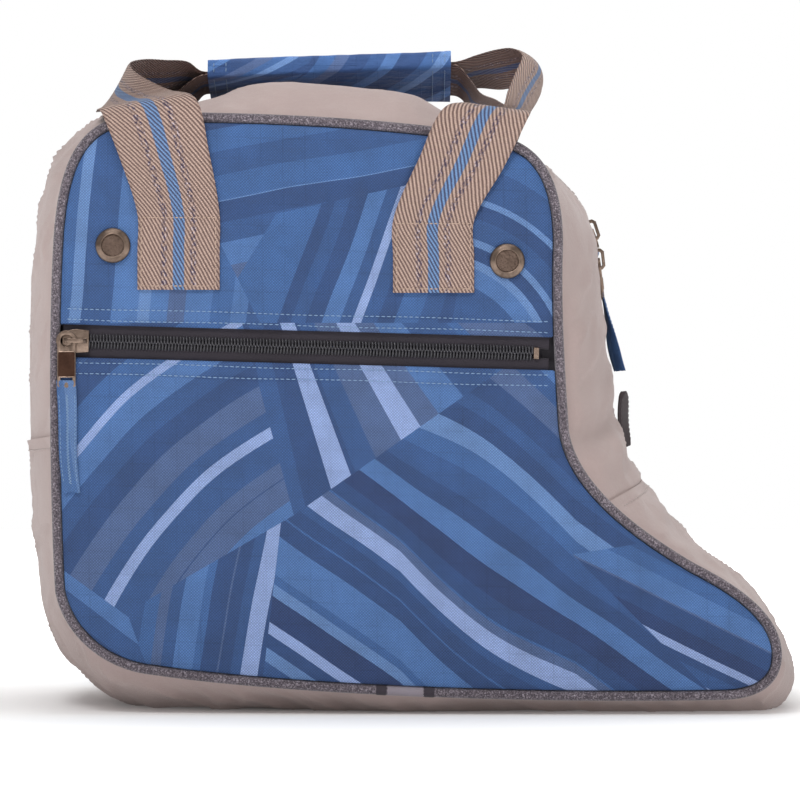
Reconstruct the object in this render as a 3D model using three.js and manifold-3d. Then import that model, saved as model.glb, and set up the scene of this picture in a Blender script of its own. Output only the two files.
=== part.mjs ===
// Ski boot bag: a boot-shaped case with piped front and rear panels, a gusset between them that opens along a
// two-way zip, a zipped pocket in the front panel, and two webbing handles that meet in a wrapped grip.
// Millimetres. X runs from heel to toe, Y from front to rear and Z up. The origin is on the floor, mid-depth.
import * as THREE from "three";
import { mergeVertices } from "three/addons/utils/BufferGeometryUtils.js";
import Module from "manifold-3d";

const wasm = await Module();
wasm.setup();

// ---- driving dimensions -----------------------------------------------------------------------------------
const GAP = 0.3; // left between touching pieces
const HALF_DEPTH = 110; // mid-depth to either piping line
const FABRIC = 2.5; // laminated gusset cloth
const PANEL = 4; // laminated, padded panel
const PIPING_RADIUS = 2.5;
const PANEL_INSET = PIPING_RADIUS + GAP;
const PANEL_FACE = HALF_DEPTH + 3.5; // outer face of the front and rear panels, from mid-depth
const WEBBING_WIDTH = 40;
const WEBBING = 1.4;
const BOARD_SIZE = { from: -75, to: 150, halfWidth: 56, thickness: 3 }; // the sole stiffener

const STEPS = 9; // points on each span of an outline
const BULGE_POWER = 3; // how squarely the gusset swells between the piping lines

// Zip hardware, measured from the cloth surface (positive is outwards)
const ZIP = {
  slit: 9, // mid-line of the chain to the cloth edge
  tapeWidth: 16,
  tapeTop: -2.9,
  tapeBottom: -3.7,
  coilInner: 0.8,
  coilOuter: 2.8,
  coilTop: -1.4,
  coilBottom: -3.5,
};
const SLIDER = { length: 13.2, halfWidth: 6, top: 0.8, under: -1, backTop: -4.3, backUnder: -5.4, post: 4.4 };
const PULL = { headRadius: 5.2, hole: 3, thickness: 1.4, low: 1.5, halfWidth: 4.6, barInset: 1.3 };
const TAB = { halfWidth: 4.8, thickness: 1.4, start: 1.6 };

// ---- outline of the bag --------------------------------------------------------------------------------------
// Both closed lines run up the heel, over the top, down the instep, out to the toe and back along the sole, in the
// same spans, as [x, z]. The seam line is where the piping lies; the crown line is the gusset at mid-depth.
function chain(start, steps) {
  let from = new THREE.Vector2(...start);
  return steps.map((step) => {
    const points = step.map((p) => new THREE.Vector2(...p));
    const to = points[points.length - 1];
    const curve = points.length === 1 ? new THREE.LineCurve(from, to) : new THREE.CubicBezierCurve(from, ...points);
    from = to;
    return curve;
  });
}

const SEAM = chain([-170, 62], [
  [[-172.5, 100], [-174, 195], [-170.5, 242.5]], // heel
  [[-167, 283], [-155, 298], [-125, 299]], // back corner
  [[-60, 299], [5, 295], [50, 287]], // top
  [[68, 283], [80, 268], [79, 232]], // shoulder
  [[78, 205], [80, 170], [82, 142]], // shin
  [[86, 115], [115, 92], [146.5, 73.5]], // instep
  [[165, 64], [188.5, 50], [188.5, 30]], // foot
  [[188.5, 18], [180, 10], [160, 10]], // toe
  [[60, 8], [-60, 13], [-123.5, 22.5]], // sole
  [[-148, 25], [-166, 42], [-170, 62]], // heel corner
]);

// The zip runs over a true arc at the shoulder and a straight line down the shin, so that its sliders can travel.
const SHOULDER = { x: 29, z: 223, radius: 73.5, from: 70.8, to: 6.35 }; // centre, radius and angles in degrees
const radians = THREE.MathUtils.degToRad;
const shoulderPoint = (angle) => [
  SHOULDER.x + SHOULDER.radius * Math.cos(radians(angle)),
  SHOULDER.z + SHOULDER.radius * Math.sin(radians(angle)),
];
const SHIN_END = [111, 151];
const CROWN = [
  ...chain([-189, 62], [
    [[-193, 100], [-195, 190], [-192, 227]],
    [[-188, 262], [-180, 305], [-125, 309.5]],
    [[-60, 317], [5, 309.2], shoulderPoint(SHOULDER.from)],
  ]),
  new THREE.EllipseCurve(
    SHOULDER.x, SHOULDER.z, SHOULDER.radius, SHOULDER.radius, radians(SHOULDER.from), radians(SHOULDER.to), true),
  ...chain(shoulderPoint(SHOULDER.to), [
    [SHIN_END],
    [[114, 126], [132, 104], [159, 77]],
    [[174, 66], [199, 50], [201, 22]],
    [[203, 2], [192, -6], [165, -6]],
    [[-105, -6]],
    [[-145, -2], [-187, 18], [-189, 62]],
  ]),
];
const SPANS = SEAM.length;
const HEEL_SEAM = 0.46; // outline place where the zip gusset meets the base gusset behind
const INSTEP_SEAM = 5.48; // and in front

const along = (line, s) => {
  const place = THREE.MathUtils.euclideanModulo(s, SPANS);
  const span = Math.min(Math.floor(place), SPANS - 1);
  return line[span].getPoint(place - span);
};

// A point of the gusset at outline place s and depth y, moved inwards by depth; the underside is flat on the floor.
function skin(s, y, depth) {
  const share = 1 - Math.abs(y / HALF_DEPTH) ** BULGE_POWER;
  const at = (place) => along(SEAM, place).lerp(along(CROWN, place), share);
  const step = at(s + 0.01).sub(at(s - 0.01)).normalize();
  const point = at(s);
  const z = point.y - step.x * depth;
  return new THREE.Vector3(point.x + step.y * depth, y, Math.max(z, depth));
}

function seamLoop(inset, steps = STEPS) {
  return Array.from({ length: SPANS * steps }, (_, i) => {
    const s = i / steps;
    const step = along(SEAM, s + 0.01).sub(along(SEAM, s - 0.01)).normalize();
    const p = along(SEAM, s);
    return new THREE.Vector2(p.x + step.y * inset, p.y - step.x * inset);
  });
}

// ---- geometry helpers ---------------------------------------------------------------------------------------
function meshFrom(points, faces) {
  const geometry = new THREE.BufferGeometry();
  geometry.setAttribute("position", new THREE.Float32BufferAttribute(points.flatMap((p) => [p.x, p.y, p.z]), 3));
  const volume = faces.reduce((sum, [a, b, c]) => sum + points[a].dot(points[b].clone().cross(points[c])), 0);
  geometry.setIndex(faces.flatMap(([a, b, c]) => (volume > 0 ? [a, b, c] : [a, c, b])));
  geometry.computeVertexNormals();
  return geometry;
}

// Joins equal sections into a closed body; the ends are capped unless the run closes on itself.
function loft(sections, loops = false) {
  const sides = sections[0].length;
  const faces = [];
  const last = loops ? sections.length : sections.length - 1;
  for (let i = 0; i < last; i += 1) {
    const next = (i + 1) % sections.length;
    for (let j = 0; j < sides; j += 1) {
      const k = (j + 1) % sides;
      const [a, b, c, d] = [i * sides + j, i * sides + k, next * sides + k, next * sides + j];
      faces.push([a, b, c], [a, c, d]);
    }
  }
  if (!loops) {
    const end = (sections.length - 1) * sides;
    for (let j = 0; j < sides / 2 - 1; j += 1) {
      const [a, b, c, d] = [j, j + 1, sides - 2 - j, sides - 1 - j];
      faces.push([a, c, b], [a, d, c]);
      faces.push([end + a, end + b, end + c], [end + a, end + c, end + d]);
    }
  }
  return meshFrom(sections.flat(), faces);
}

// A strip of the gusset between two places on the outline, two depths y and two levels of the cloth.
function band(from, to, yLow, yHigh, top, bottom, across) {
  const rows = Math.ceil((to - from) * STEPS);
  const sections = Array.from({ length: rows + 1 }, (_, i) => {
    const s = from + ((to - from) * i) / rows;
    const row = (level) =>
      Array.from({ length: across + 1 }, (__, j) => skin(s, yLow + ((yHigh - yLow) * j) / across, -level));
    return [...row(top), ...row(bottom).reverse()];
  });
  return loft(sections);
}

// An outline in X and Z, made solid from one depth to another.
function slab(outline, yBack, yFront, holes = []) {
  const shape = new THREE.Shape(outline);
  shape.holes = holes;
  const geometry = new THREE.ExtrudeGeometry(shape, { depth: yBack - yFront, bevelEnabled: false, curveSegments: 10 });
  return geometry.rotateX(Math.PI / 2).translate(0, yBack, 0);
}

// The part of a closed outline on one side of the line through a point with a slope.
function clip(outline, point, slope, side) {
  const height = (p) => side * (p.y - point.y - (p.x - point.x) * slope);
  return outline.flatMap((p, i) => {
    const q = outline[(i + 1) % outline.length];
    const [a, b] = [height(p), height(q)];
    const kept = a >= 0 ? [p] : [];
    return a * b < 0 ? [...kept, p.clone().lerp(q, a / (a - b))] : kept;
  });
}

function solid(geometry) {
  const bare = geometry.clone();
  bare.deleteAttribute("normal");
  bare.deleteAttribute("uv");
  const merged = mergeVertices(bare, 1e-4);
  const properties = { numProp: 3, vertProperties: merged.attributes.position.array, triVerts: merged.index.array };
  return new wasm.Manifold(new wasm.Mesh(properties));
}

function join(...geometries) {
  const mesh = geometries.map(solid).reduce((a, b) => a.add(b)).getMesh();
  const geometry = new THREE.BufferGeometry();
  geometry.setAttribute("position", new THREE.BufferAttribute(mesh.vertProperties, 3));
  geometry.setIndex(new THREE.BufferAttribute(mesh.triVerts, 1));
  return geometry;
}

function block(x0, x1, y0, y1, z0, z1) {
  return new THREE.BoxGeometry(x1 - x0, y1 - y0, z1 - z0).translate((x0 + x1) / 2, (y0 + y1) / 2, (z0 + z1) / 2);
}

// A plan shape in X and Y, made solid between two heights.
function plate(shape, low, high) {
  return new THREE.ExtrudeGeometry(shape, { depth: high - low, bevelEnabled: false, curveSegments: 6 })
    .translate(0, 0, low);
}

// ---- materials -----------------------------------------------------------------------------------------------
const finish = (color, roughness = 0.85, metalness = 0) =>
  new THREE.MeshStandardMaterial({ color, roughness, metalness });
const PRINT = finish(0x4b70a5);
const GUSSET = finish(0xac9898);
const LINING = finish(0x3c3a40);
const PIPING = finish(0x726568, 0.9);
const WEB = finish(0x987d72, 0.9);
const TAPE = finish(0x2e2a2e, 0.9);
const COIL = finish(0x2a2a2c, 0.45);
const METAL = finish(0x6f5e58, 0.35, 1);
const TAB_CLOTH = finish(0x5b7fae);
const BOARD = finish(0x2a2a2a, 0.7);

const bag = new THREE.Group();
function add(name, geometry, material, parent = bag) {
  const mesh = new THREE.Mesh(geometry, material);
  mesh.name = name;
  parent.add(mesh);
  return mesh;
}

// ---- panels and gusset -----------------------------------------------------------------------------------------
// The pocket zip crosses the front panel on a slight slope.
const POCKET = { x: -162, z: 187, slope: -0.027, halfSlit: 8.2, sink: 1.1 };
const pocketZipAt = (offset) => new THREE.Vector2(POCKET.x, POCKET.z + offset);
const STUDS = { left: [-143.25, 234.6], right: [53.5, 226.8] };
const STUD = { radius: 8.75, post: 2, hole: 2.4, height: 3.6 };

function studHole([x, z]) {
  return new THREE.Path().absarc(x, z, STUD.hole, 0, 2 * Math.PI, false); // against the outline, which is clockwise
}

function addPanels() {
  const outline = seamLoop(PANEL_INSET);
  const front = -PANEL_FACE;
  const upper = clip(outline, pocketZipAt(POCKET.halfSlit), POCKET.slope, 1);
  const lower = clip(outline, pocketZipAt(-POCKET.halfSlit), POCKET.slope, -1);
  add("front_upper_panel", slab(upper, front + PANEL, front, Object.values(STUDS).map(studHole)), PRINT);
  add("front_pocket_panel", slab(lower, front + PANEL, front), PRINT);
  add("rear_panel", slab(outline, PANEL_FACE, PANEL_FACE - PANEL), PRINT);
  const wall = { inset: 1.6, front: 7.5, back: 9.5 }; // from the piping line
  add("pocket_back_wall", slab(seamLoop(wall.inset), -HALF_DEPTH + wall.back, -HALF_DEPTH + wall.front), LINING);
}

function addGusset() {
  const edge = HALF_DEPTH - PANEL_INSET;
  const seamGap = 0.004; // of a span, between the gusset pieces
  const across = { zipGusset: 6, baseGusset: 14 }; // facets from side to side
  const [baseStart, baseEnd] = [INSTEP_SEAM + seamGap, SPANS + HEEL_SEAM - seamGap];
  const boardUnder = FABRIC + GAP;
  const { from, to, halfWidth, thickness } = BOARD_SIZE;
  add("zip_gusset_front", band(HEEL_SEAM, INSTEP_SEAM, -edge, -ZIP.slit, 0, -FABRIC, across.zipGusset), GUSSET);
  add("zip_gusset_rear", band(HEEL_SEAM, INSTEP_SEAM, ZIP.slit, edge, 0, -FABRIC, across.zipGusset), GUSSET);
  add("base_gusset", band(baseStart, baseEnd, -edge, edge, 0, -FABRIC, across.baseGusset), GUSSET);
  add("base_stiffener", block(from, to, -halfWidth, halfWidth, boardUnder, boardUnder + thickness), BOARD);
}

// The piping is a cord in a cloth cover, run round each panel.
function addPiping(name, y) {
  const [sides, steps] = [8, 8]; // facets round the cord and along each span
  const sections = Array.from({ length: SPANS * steps }, (_, i) => {
    const s = i / steps;
    const step = along(SEAM, s + 0.01).sub(along(SEAM, s - 0.01)).normalize();
    const p = along(SEAM, s);
    return Array.from({ length: sides }, (__, j) => {
      const angle = (2 * Math.PI * (j + 0.5)) / sides;
      const out = PIPING_RADIUS * Math.cos(angle);
      return new THREE.Vector3(p.x - step.y * out, y + PIPING_RADIUS * Math.sin(angle), p.y + step.x * out);
    });
  });
  add(name, loft(sections, true), PIPING);
}

// ---- zips ------------------------------------------------------------------------------------------------------
// Slider, pull and tab are made lying along +X, with +Z away from the cloth.
function sliderGeometry() {
  const half = SLIDER.length / 2;
  const plan = new THREE.Shape([
    [-half, -2.6], [-half + 2, -SLIDER.halfWidth + 1], [0, -SLIDER.halfWidth], [half, -SLIDER.halfWidth + 0.6],
    [half, SLIDER.halfWidth - 0.6], [0, SLIDER.halfWidth], [-half + 2, SLIDER.halfWidth - 1], [-half, 2.6],
  ].map((p) => new THREE.Vector2(...p)));
  const arch = new THREE.Shape([
    [-5.6, 0.5], [-5.6, 3.7], [-3.9, 5.4], [3.9, 5.4], [5.6, 3.7], [5.6, 0.5], [3.8, 0.5], [3.8, 3.2], [3.2, 3.8],
    [-3.2, 3.8], [-3.8, 3.2], [-3.8, 0.5],
  ].map((p) => new THREE.Vector2(...p)));
  const archWidth = 2.2;
  const bridge = new THREE.ExtrudeGeometry(arch, { depth: archWidth, bevelEnabled: false })
    .rotateX(Math.PI / 2).translate(0, archWidth / 2, 0);
  return join(
    plate(plan, SLIDER.under, SLIDER.top),
    plate(plan, SLIDER.backUnder, SLIDER.backTop),
    block(-half + 0.4, -half + 3.6, -0.4, 0.4, SLIDER.backTop - 0.3, SLIDER.under + 0.3),
    bridge,
  );
}

// The hole of the pull goes round the slider's bridge post, and its far end has a slot for the cloth tab.
function pullGeometry(length) {
  const { headRadius, halfWidth } = PULL;
  const end = length - headRadius;
  const turn = Math.asin(halfWidth / headRadius);
  const shape = new THREE.Shape();
  shape.absarc(0, 0, headRadius, turn, 2 * Math.PI - turn, false);
  shape.lineTo(end - 1, -halfWidth);
  shape.lineTo(end, -halfWidth + 1);
  shape.lineTo(end, halfWidth - 1);
  shape.lineTo(end - 1, halfWidth);
  const start = 0.2; // keeps a point of the round hole out of line with the slot
  shape.holes.push(new THREE.Path().absarc(0, 0, PULL.hole, start, start + 2 * Math.PI, true));
  const slot = [[end - 5, -3], [end - 5, 3], [end - 2.6, 3], [end - 2.6, -3]];
  shape.holes.push(new THREE.Path(slot.map((p) => new THREE.Vector2(...p))));
  return plate(shape, PULL.low, PULL.low + PULL.thickness);
}

function tabGeometry(from, length) {
  const { halfWidth } = TAB;
  const tip = from + length;
  const shape = new THREE.Shape([
    [from, -halfWidth], [tip - 1, -halfWidth + 0.8], [tip, -halfWidth + 1.8], [tip, halfWidth - 1.8],
    [tip - 1, halfWidth - 0.8], [from, halfWidth],
  ].map((p) => new THREE.Vector2(...p)));
  return plate(shape, PULL.low, PULL.low + TAB.thickness);
}

// One slider with its pull and tab. nose and post are the ends, -1 or 1 along X, where the slider parts the chain and
// where its bridge holds the pull. The pull points turn degrees away from +X.
function addSlider(prefix, place, { nose, post, pull, tab, turn }) {
  add(`${prefix}_slider`, sliderGeometry(), METAL, place).rotation.z = nose < 0 ? 0 : Math.PI;
  const swing = new THREE.Group();
  swing.position.x = post * SLIDER.post;
  swing.rotation.z = radians(turn);
  place.add(swing);
  add(`${prefix}_pull`, pullGeometry(pull), METAL, swing);
  const bar = pull - PULL.headRadius - PULL.barInset;
  add(`${prefix}_pull_tab`, tabGeometry(bar + TAB.start, tab), TAB_CLOTH, swing);
}

function addMainZip() {
  const [start, end] = [HEEL_SEAM + 0.02, INSTEP_SEAM - 0.05];
  const tape = (name, side) => {
    const [a, b] = [ZIP.coilOuter + GAP, ZIP.tapeWidth].map((y) => side * y).sort((p, q) => p - q);
    add(name, band(start, end, a, b, ZIP.tapeTop, ZIP.tapeBottom, 1), TAPE);
  };
  const coil = (name, side) => {
    const [a, b] = [ZIP.coilInner, ZIP.coilOuter].map((y) => side * y).sort((p, q) => p - q);
    add(name, band(start + 0.05, end - 0.1, a, b, ZIP.coilTop, ZIP.coilBottom, 1), COIL);
  };
  tape("main_zip_tape_front", -1);
  tape("main_zip_tape_rear", 1);
  coil("main_zip_coil_front", -1);
  coil("main_zip_coil_rear", 1);
  const stopSize = { length: 0.03, top: -0.8, bottom: -3.4 }; // length as a share of a span
  const stop = (name, s) => {
    const half = ZIP.coilOuter;
    add(name, band(s, s + stopSize.length, -half, half, stopSize.top, stopSize.bottom, 1), METAL);
  };
  stop("heel_zip_stop", start + 0.012);
  stop("instep_zip_stop", end - 0.08);
}

// Two sliders meet head to head at the front of the shoulder.
const MAIN_SLIDERS = { lower: SHOULDER.to, upper: SHOULDER.to + 11.8 }; // degrees on the arc
function addMainSliders() {
  const at = (angle) => {
    const place = new THREE.Group();
    const [x, z] = shoulderPoint(angle);
    place.position.set(x, 0, z);
    place.rotation.y = Math.PI / 2 - radians(angle);
    bag.add(place);
    return place;
  };
  addSlider("lower", at(MAIN_SLIDERS.lower), { nose: -1, post: 1, pull: 22, tab: 38, turn: 0 });
  addSlider("upper", at(MAIN_SLIDERS.upper), { nose: 1, post: 1, pull: 22, tab: 38, turn: 82 });
}

// A folded leather keeper beside the lower end of the zip, to hold while the slider is pulled. Both its ends lie on
// the cloth and its middle stands off.
function addZipKeeper() {
  const [front, rear, thickness] = [-27, -14, 2.4];
  const places = [4.85, 4.95, 5.05, 5.15, 5.25]; // outline places from end to end
  const lifts = [0, 6.4, 7.4, 6.2, 0]; // its underside above the cloth at each
  const sections = places.map((s, i) => {
    const low = GAP + lifts[i];
    const high = low + thickness;
    return [skin(s, front, -low), skin(s, rear, -low), skin(s, rear, -high), skin(s, front, -high)];
  });
  add("zip_keeper", loft(sections), TAPE);
}

function addPocketZip() {
  const zip = new THREE.Group();
  zip.position.set(POCKET.x, -PANEL_FACE + POCKET.sink, POCKET.z);
  zip.rotation.set(Math.PI / 2, -Math.atan(POCKET.slope), 0, "YXZ");
  bag.add(zip);
  const face = POCKET.sink - PANEL - GAP; // behind the panel
  const [left, right] = [-6.5, 236.5]; // ends of the tape
  const tape = { inner: ZIP.coilOuter + GAP, outer: 15, thickness: ZIP.tapeTop - ZIP.tapeBottom };
  const back = face - tape.thickness;
  add("pocket_zip_tape_upper", block(left, right, tape.inner, tape.outer, back, face), TAPE, zip);
  add("pocket_zip_tape_lower", block(left, right, -tape.outer, -tape.inner, back, face), TAPE, zip);
  const coil = [left + 1, right - 8];
  const stop = [right - 7.5, right - 5];
  const { coilInner, coilOuter, coilTop, coilBottom } = ZIP;
  add("pocket_zip_coil_upper", block(...coil, coilInner, coilOuter, coilBottom, coilTop), COIL, zip);
  add("pocket_zip_coil_lower", block(...coil, -coilOuter, -coilInner, coilBottom, coilTop), COIL, zip);
  add("pocket_zip_stop", block(...stop, -coilOuter, coilOuter, coilBottom, coilTop + 0.6), METAL, zip);
  return zip;
}

// ---- studs -----------------------------------------------------------------------------------------------------
function addStud(side) {
  const [x, z] = STUDS[side];
  const turned = (profile) =>
    new THREE.LatheGeometry(profile.map((p) => new THREE.Vector2(...p)), 20).rotateX(Math.PI);
  const cap = [
    [0, -PANEL], [STUD.post, -PANEL], [STUD.post, GAP], [STUD.radius, GAP], [STUD.radius, 1.6],
    [STUD.radius - 1.6, STUD.height], [6.2, STUD.height], [5.8, 2.6], [0, 2.6],
  ];
  const socket = [[0, -PANEL - 2.2], [5.4, -PANEL - 2.2], [6.4, -PANEL - 1.4], [6.4, -PANEL - GAP], [0, -PANEL - GAP]];
  for (const [name, profile] of [[`stud_cap_${side}`, cap], [`stud_socket_${side}`, socket]]) {
    add(name, turned(profile), METAL).position.set(x, -PANEL_FACE, z);
  }
}

// ---- handles and grip --------------------------------------------------------------------------------------------
// The grip is a flat cloth tube that leans, front edge up. a runs across it to the front, b out through its back.
const GRIP = { y: 0, z: 326, lean: radians(17), left: -100, right: 26.5, halfWidth: 23 };
const gripPoint = (x, a, b) => new THREE.Vector3(
  x,
  GRIP.y - a * Math.cos(GRIP.lean) + b * Math.sin(GRIP.lean),
  GRIP.z + a * Math.sin(GRIP.lean) + b * Math.cos(GRIP.lean),
);

// An outline in a and b, run along the grip.
function gripBar(outline, left, right) {
  const shape = new THREE.Shape(outline.map((p) => new THREE.Vector2(...p)));
  const geometry = new THREE.ExtrudeGeometry(shape, { depth: right - left, bevelEnabled: false });
  const toBag = new THREE.Matrix4().makeBasis(
    new THREE.Vector3(0, -Math.cos(GRIP.lean), Math.sin(GRIP.lean)),
    new THREE.Vector3(0, Math.sin(GRIP.lean), Math.cos(GRIP.lean)),
    new THREE.Vector3(-1, 0, 0),
  );
  return geometry.applyMatrix4(toBag).translate(right, GRIP.y, GRIP.z);
}

function addGrip() {
  const w = GRIP.halfWidth;
  const [hollow, wall] = [2.2, 1.7];
  const cover = [
    [-w + 2, -hollow - wall], [w - 2, -hollow - wall], [w, -hollow], [w, 5.2], [w - 1.5, 6.4], [w - 4, 6.4],
    [w - 4, hollow], [w - 2, hollow], [w - 2, -hollow], [-w + 2, -hollow], [-w + 2, hollow], [-w + 11, hollow],
    [-w + 11, hollow + 0.9], [-w, hollow + 0.9], [-w, -hollow],
  ];
  const strip = (low, high) => [[-w + 0.5, low], [-w + 10.5, low], [-w + 10.5, high], [-w + 0.5, high]];
  const flap = [[-w - 1, 5.1], [w - 4 - GAP, 5.1], [w - 4 - GAP, 6.3], [-w - 1, 6.3]];
  add("grip_wrap", gripBar(cover, GRIP.left, GRIP.right), PRINT);
  add("loop_strip", gripBar(strip(3.3, 3.9), GRIP.left + 4, GRIP.right - 4), TAPE);
  add("hook_strip", gripBar(strip(4.2, 4.8), GRIP.left + 4, GRIP.right - 4), TAPE);
  add("grip_flap", gripBar(flap, GRIP.left, GRIP.right), PRINT);
}

// A handle is one length of webbing, given by pairs of points on its two edges from its left patch to its right.
function strap(pairs) {
  const curves = [0, 1].map((edge) =>
    new THREE.CatmullRomCurve3(pairs.map((pair) => new THREE.Vector3(...pair[edge])), false, "centripetal"));
  const steps = 2 * (pairs.length - 1);
  const middle = (t) => curves[0].getPoint(t).lerp(curves[1].getPoint(t), 0.5);
  const sections = Array.from({ length: steps + 1 }, (_, i) => {
    const t = i / steps;
    const [a, b] = curves.map((curve) => curve.getPoint(t));
    const run = middle(Math.min(t + 0.004, 1)).sub(middle(Math.max(t - 0.004, 0)));
    const up = b.clone().sub(a).cross(run).setLength(WEBBING / 2);
    return [a.clone().add(up), b.clone().add(up), b.clone().sub(up), a.clone().sub(up)];
  });
  return loft(sections);
}

const WEB_FACE = PANEL_FACE + GAP + WEBBING / 2; // mid-thickness of webbing that lies on a panel
const inGrip = (level) => [-103, -92, -35, 17, 29.5].map((x) => {
  const half = WEBBING_WIDTH / 2 - 0.8; // drawn in a little by the wrap
  return [gripPoint(x, -half, level).toArray(), gripPoint(x, half, level).toArray()];
});

// Down a panel, from the crease over its top edge to the foot of the patch. side is -1 at the front, 1 behind.
const leftLeg = (side) => [
  [[-131, side * WEB_FACE, 212.5], [-90, side * WEB_FACE, 212.5]],
  [[-131, side * WEB_FACE, 232], [-90, side * WEB_FACE, 232]],
  [[-131, side * WEB_FACE, 250], [-90, side * WEB_FACE, 250]],
  [[-139, side * (WEB_FACE + 1.5), 276], [-95, side * (WEB_FACE + 1.5), 280]],
  [[-149, side * (WEB_FACE + 1.5), 301], [-102, side * (WEB_FACE + 2), 308]],
];
const rightLeg = (side) => [
  [[64.5, side * (WEB_FACE + 1.5), 299.5], [23, side * (WEB_FACE + 2), 304]],
  [[52, side * (WEB_FACE + 1.5), 274], [9, side * (WEB_FACE + 1.5), 277]],
  [[37, side * WEB_FACE, 247], [-3.5, side * WEB_FACE, 247]],
  [[37, side * WEB_FACE, 229], [-3.5, side * WEB_FACE, 229]],
  [[37, side * WEB_FACE, 211], [-3.5, side * WEB_FACE, 211]],
];
const swapped = (pairs) => pairs.map(([a, b]) => [b, a]);

function addStraps() {
  const frontPairs = [
    ...leftLeg(-1),
    [[-153, -95, 302.5], [-116, -106, 313]],
    [[-153, -68, 305], [-131, -97, 321]],
    [[-149.5, -46, 308.5], [-137, -79, 328]],
    [[-141, -24, 312.5], [-131, -56, 332]],
    [[-127, -3, 315.5], [-121, -38, 333]],
    [[-113, 12, 319.5], [-110, -25, 333]],
    ...inGrip(0.95),
    [[41, 11, 322.5], [39.5, -24.5, 337]],
    [[55, -1, 319.5], [49, -34, 338.5]],
    [[68.5, -12.5, 319.5], [57, -45, 338.5]],
    [[76, -25, 319], [61.5, -58, 333.5]],
    [[75.5, -39, 315], [58.5, -73, 323.5]],
    [[73, -54.5, 309.5], [54.5, -87, 313.5]],
    [[69.5, -72, 303.5], [51, -98, 304.5]],
    [[68, -93, 300.5], [40, -108, 305]],
    ...rightLeg(-1),
  ];
  const rearPairs = [
    ...leftLeg(1),
    [[-147, 92, 305.5], [-103, 94, 309.5]],
    [[-140, 58, 311.5], [-107, 70, 313]],
    [[-132, 28, 313], [-110, 52, 314.5]],
    [[-123, 4, 314.5], [-110, 34, 315]],
    [[-112, -13, 322], [-107, 22, 316]],
    ...swapped(inGrip(-0.95)),
    [[36, -15, 325.5], [33, 20, 316.5]],
    [[42.5, 5.5, 319], [33.5, 39, 314]],
    [[51, 28, 317], [35, 62, 313]],
    [[61, 58, 312.5], [29, 76, 309.5]],
    [[66, 91, 306], [27, 93, 306]],
    ...rightLeg(1),
  ];
  add("front_strap", strap(frontPairs), WEB);
  add("rear_strap", strap(rearPairs), WEB);
}

// ---- assembly --------------------------------------------------------------------------------------------------
addPanels();
addGusset();
addPiping("front_piping", -HALF_DEPTH);
addPiping("rear_piping", HALF_DEPTH);
addMainZip();
addMainSliders();
addZipKeeper();
addSlider("pocket", addPocketZip(), { nose: -1, post: -1, pull: 28.7, tab: 52, turn: -88.5 });
addStud("left");
addStud("right");
addGrip();
addStraps();

export default bag;
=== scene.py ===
"""Ski boot bag: the looks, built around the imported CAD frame."""

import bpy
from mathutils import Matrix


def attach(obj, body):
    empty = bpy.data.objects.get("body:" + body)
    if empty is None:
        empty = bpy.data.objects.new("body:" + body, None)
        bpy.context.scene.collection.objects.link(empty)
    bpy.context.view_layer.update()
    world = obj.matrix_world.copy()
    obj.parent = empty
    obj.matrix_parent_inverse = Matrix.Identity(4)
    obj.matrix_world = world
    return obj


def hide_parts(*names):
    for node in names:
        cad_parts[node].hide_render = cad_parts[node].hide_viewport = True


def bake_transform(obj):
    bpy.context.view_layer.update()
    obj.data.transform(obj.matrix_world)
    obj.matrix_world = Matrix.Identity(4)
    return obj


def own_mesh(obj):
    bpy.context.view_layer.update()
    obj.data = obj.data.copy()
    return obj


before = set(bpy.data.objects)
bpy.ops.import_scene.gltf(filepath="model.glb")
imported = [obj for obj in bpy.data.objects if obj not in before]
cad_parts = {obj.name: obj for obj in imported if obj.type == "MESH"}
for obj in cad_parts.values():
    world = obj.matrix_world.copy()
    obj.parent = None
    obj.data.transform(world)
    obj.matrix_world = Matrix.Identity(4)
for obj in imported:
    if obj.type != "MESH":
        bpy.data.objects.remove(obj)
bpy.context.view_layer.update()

import math

import bmesh
import bpy
import numpy as np
from mathutils import Vector, geometry, noise

MM = 0.001  # shapes are worked out in millimetres and the scene is in metres

# ---- the CAD's own lines, in millimetres -----------------------------------------------------
HALF_DEPTH = 110.0
PANEL_FACE = 113.5
PANEL = 4.0
PIPING_RADIUS = 2.5
PANEL_INSET = 2.8
FABRIC = 2.5
BULGE_POWER = 3
SPANS = 10
HEEL_SEAM = 0.46
INSTEP_SEAM = 5.48
ZIP_SLIT = 9.0
EDGE = HALF_DEPTH - PANEL_INSET
SHOULDER = dict(x=29.0, z=223.0, radius=73.5, start=70.8, end=6.35)
POCKET = dict(x=-162.0, z=187.0, slope=-0.027, half_slit=8.2)
STUDS = dict(left=(-143.25, 234.6), right=(53.5, 226.8))


def shoulder_point(angle, radius=SHOULDER["radius"]):
    turn = math.radians(angle)
    return [SHOULDER["x"] + radius * math.cos(turn), SHOULDER["z"] + radius * math.sin(turn)]


def bezier(a, b, c, d):
    a, b, c, d = (np.array(p, float) for p in (a, b, c, d))

    def at(t):
        t = t[:, None]
        u = 1 - t
        return a * u**3 + 3 * b * u * u * t + 3 * c * u * t * t + d * t**3

    return at


def straight(a, b):
    a, b = np.array(a, float), np.array(b, float)
    return lambda t: a + (b - a) * t[:, None]


def arc(t):
    turn = np.radians(SHOULDER["start"] + (SHOULDER["end"] - SHOULDER["start"]) * t)
    ring = np.stack([np.cos(turn), np.sin(turn)], axis=1)
    return np.array([SHOULDER["x"], SHOULDER["z"]]) + SHOULDER["radius"] * ring


def chain(start, steps):
    spans = []
    for step in steps:
        spans.append(straight(start, step[0]) if len(step) == 1 else bezier(start, *step))
        start = step[-1]
    return spans


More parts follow.
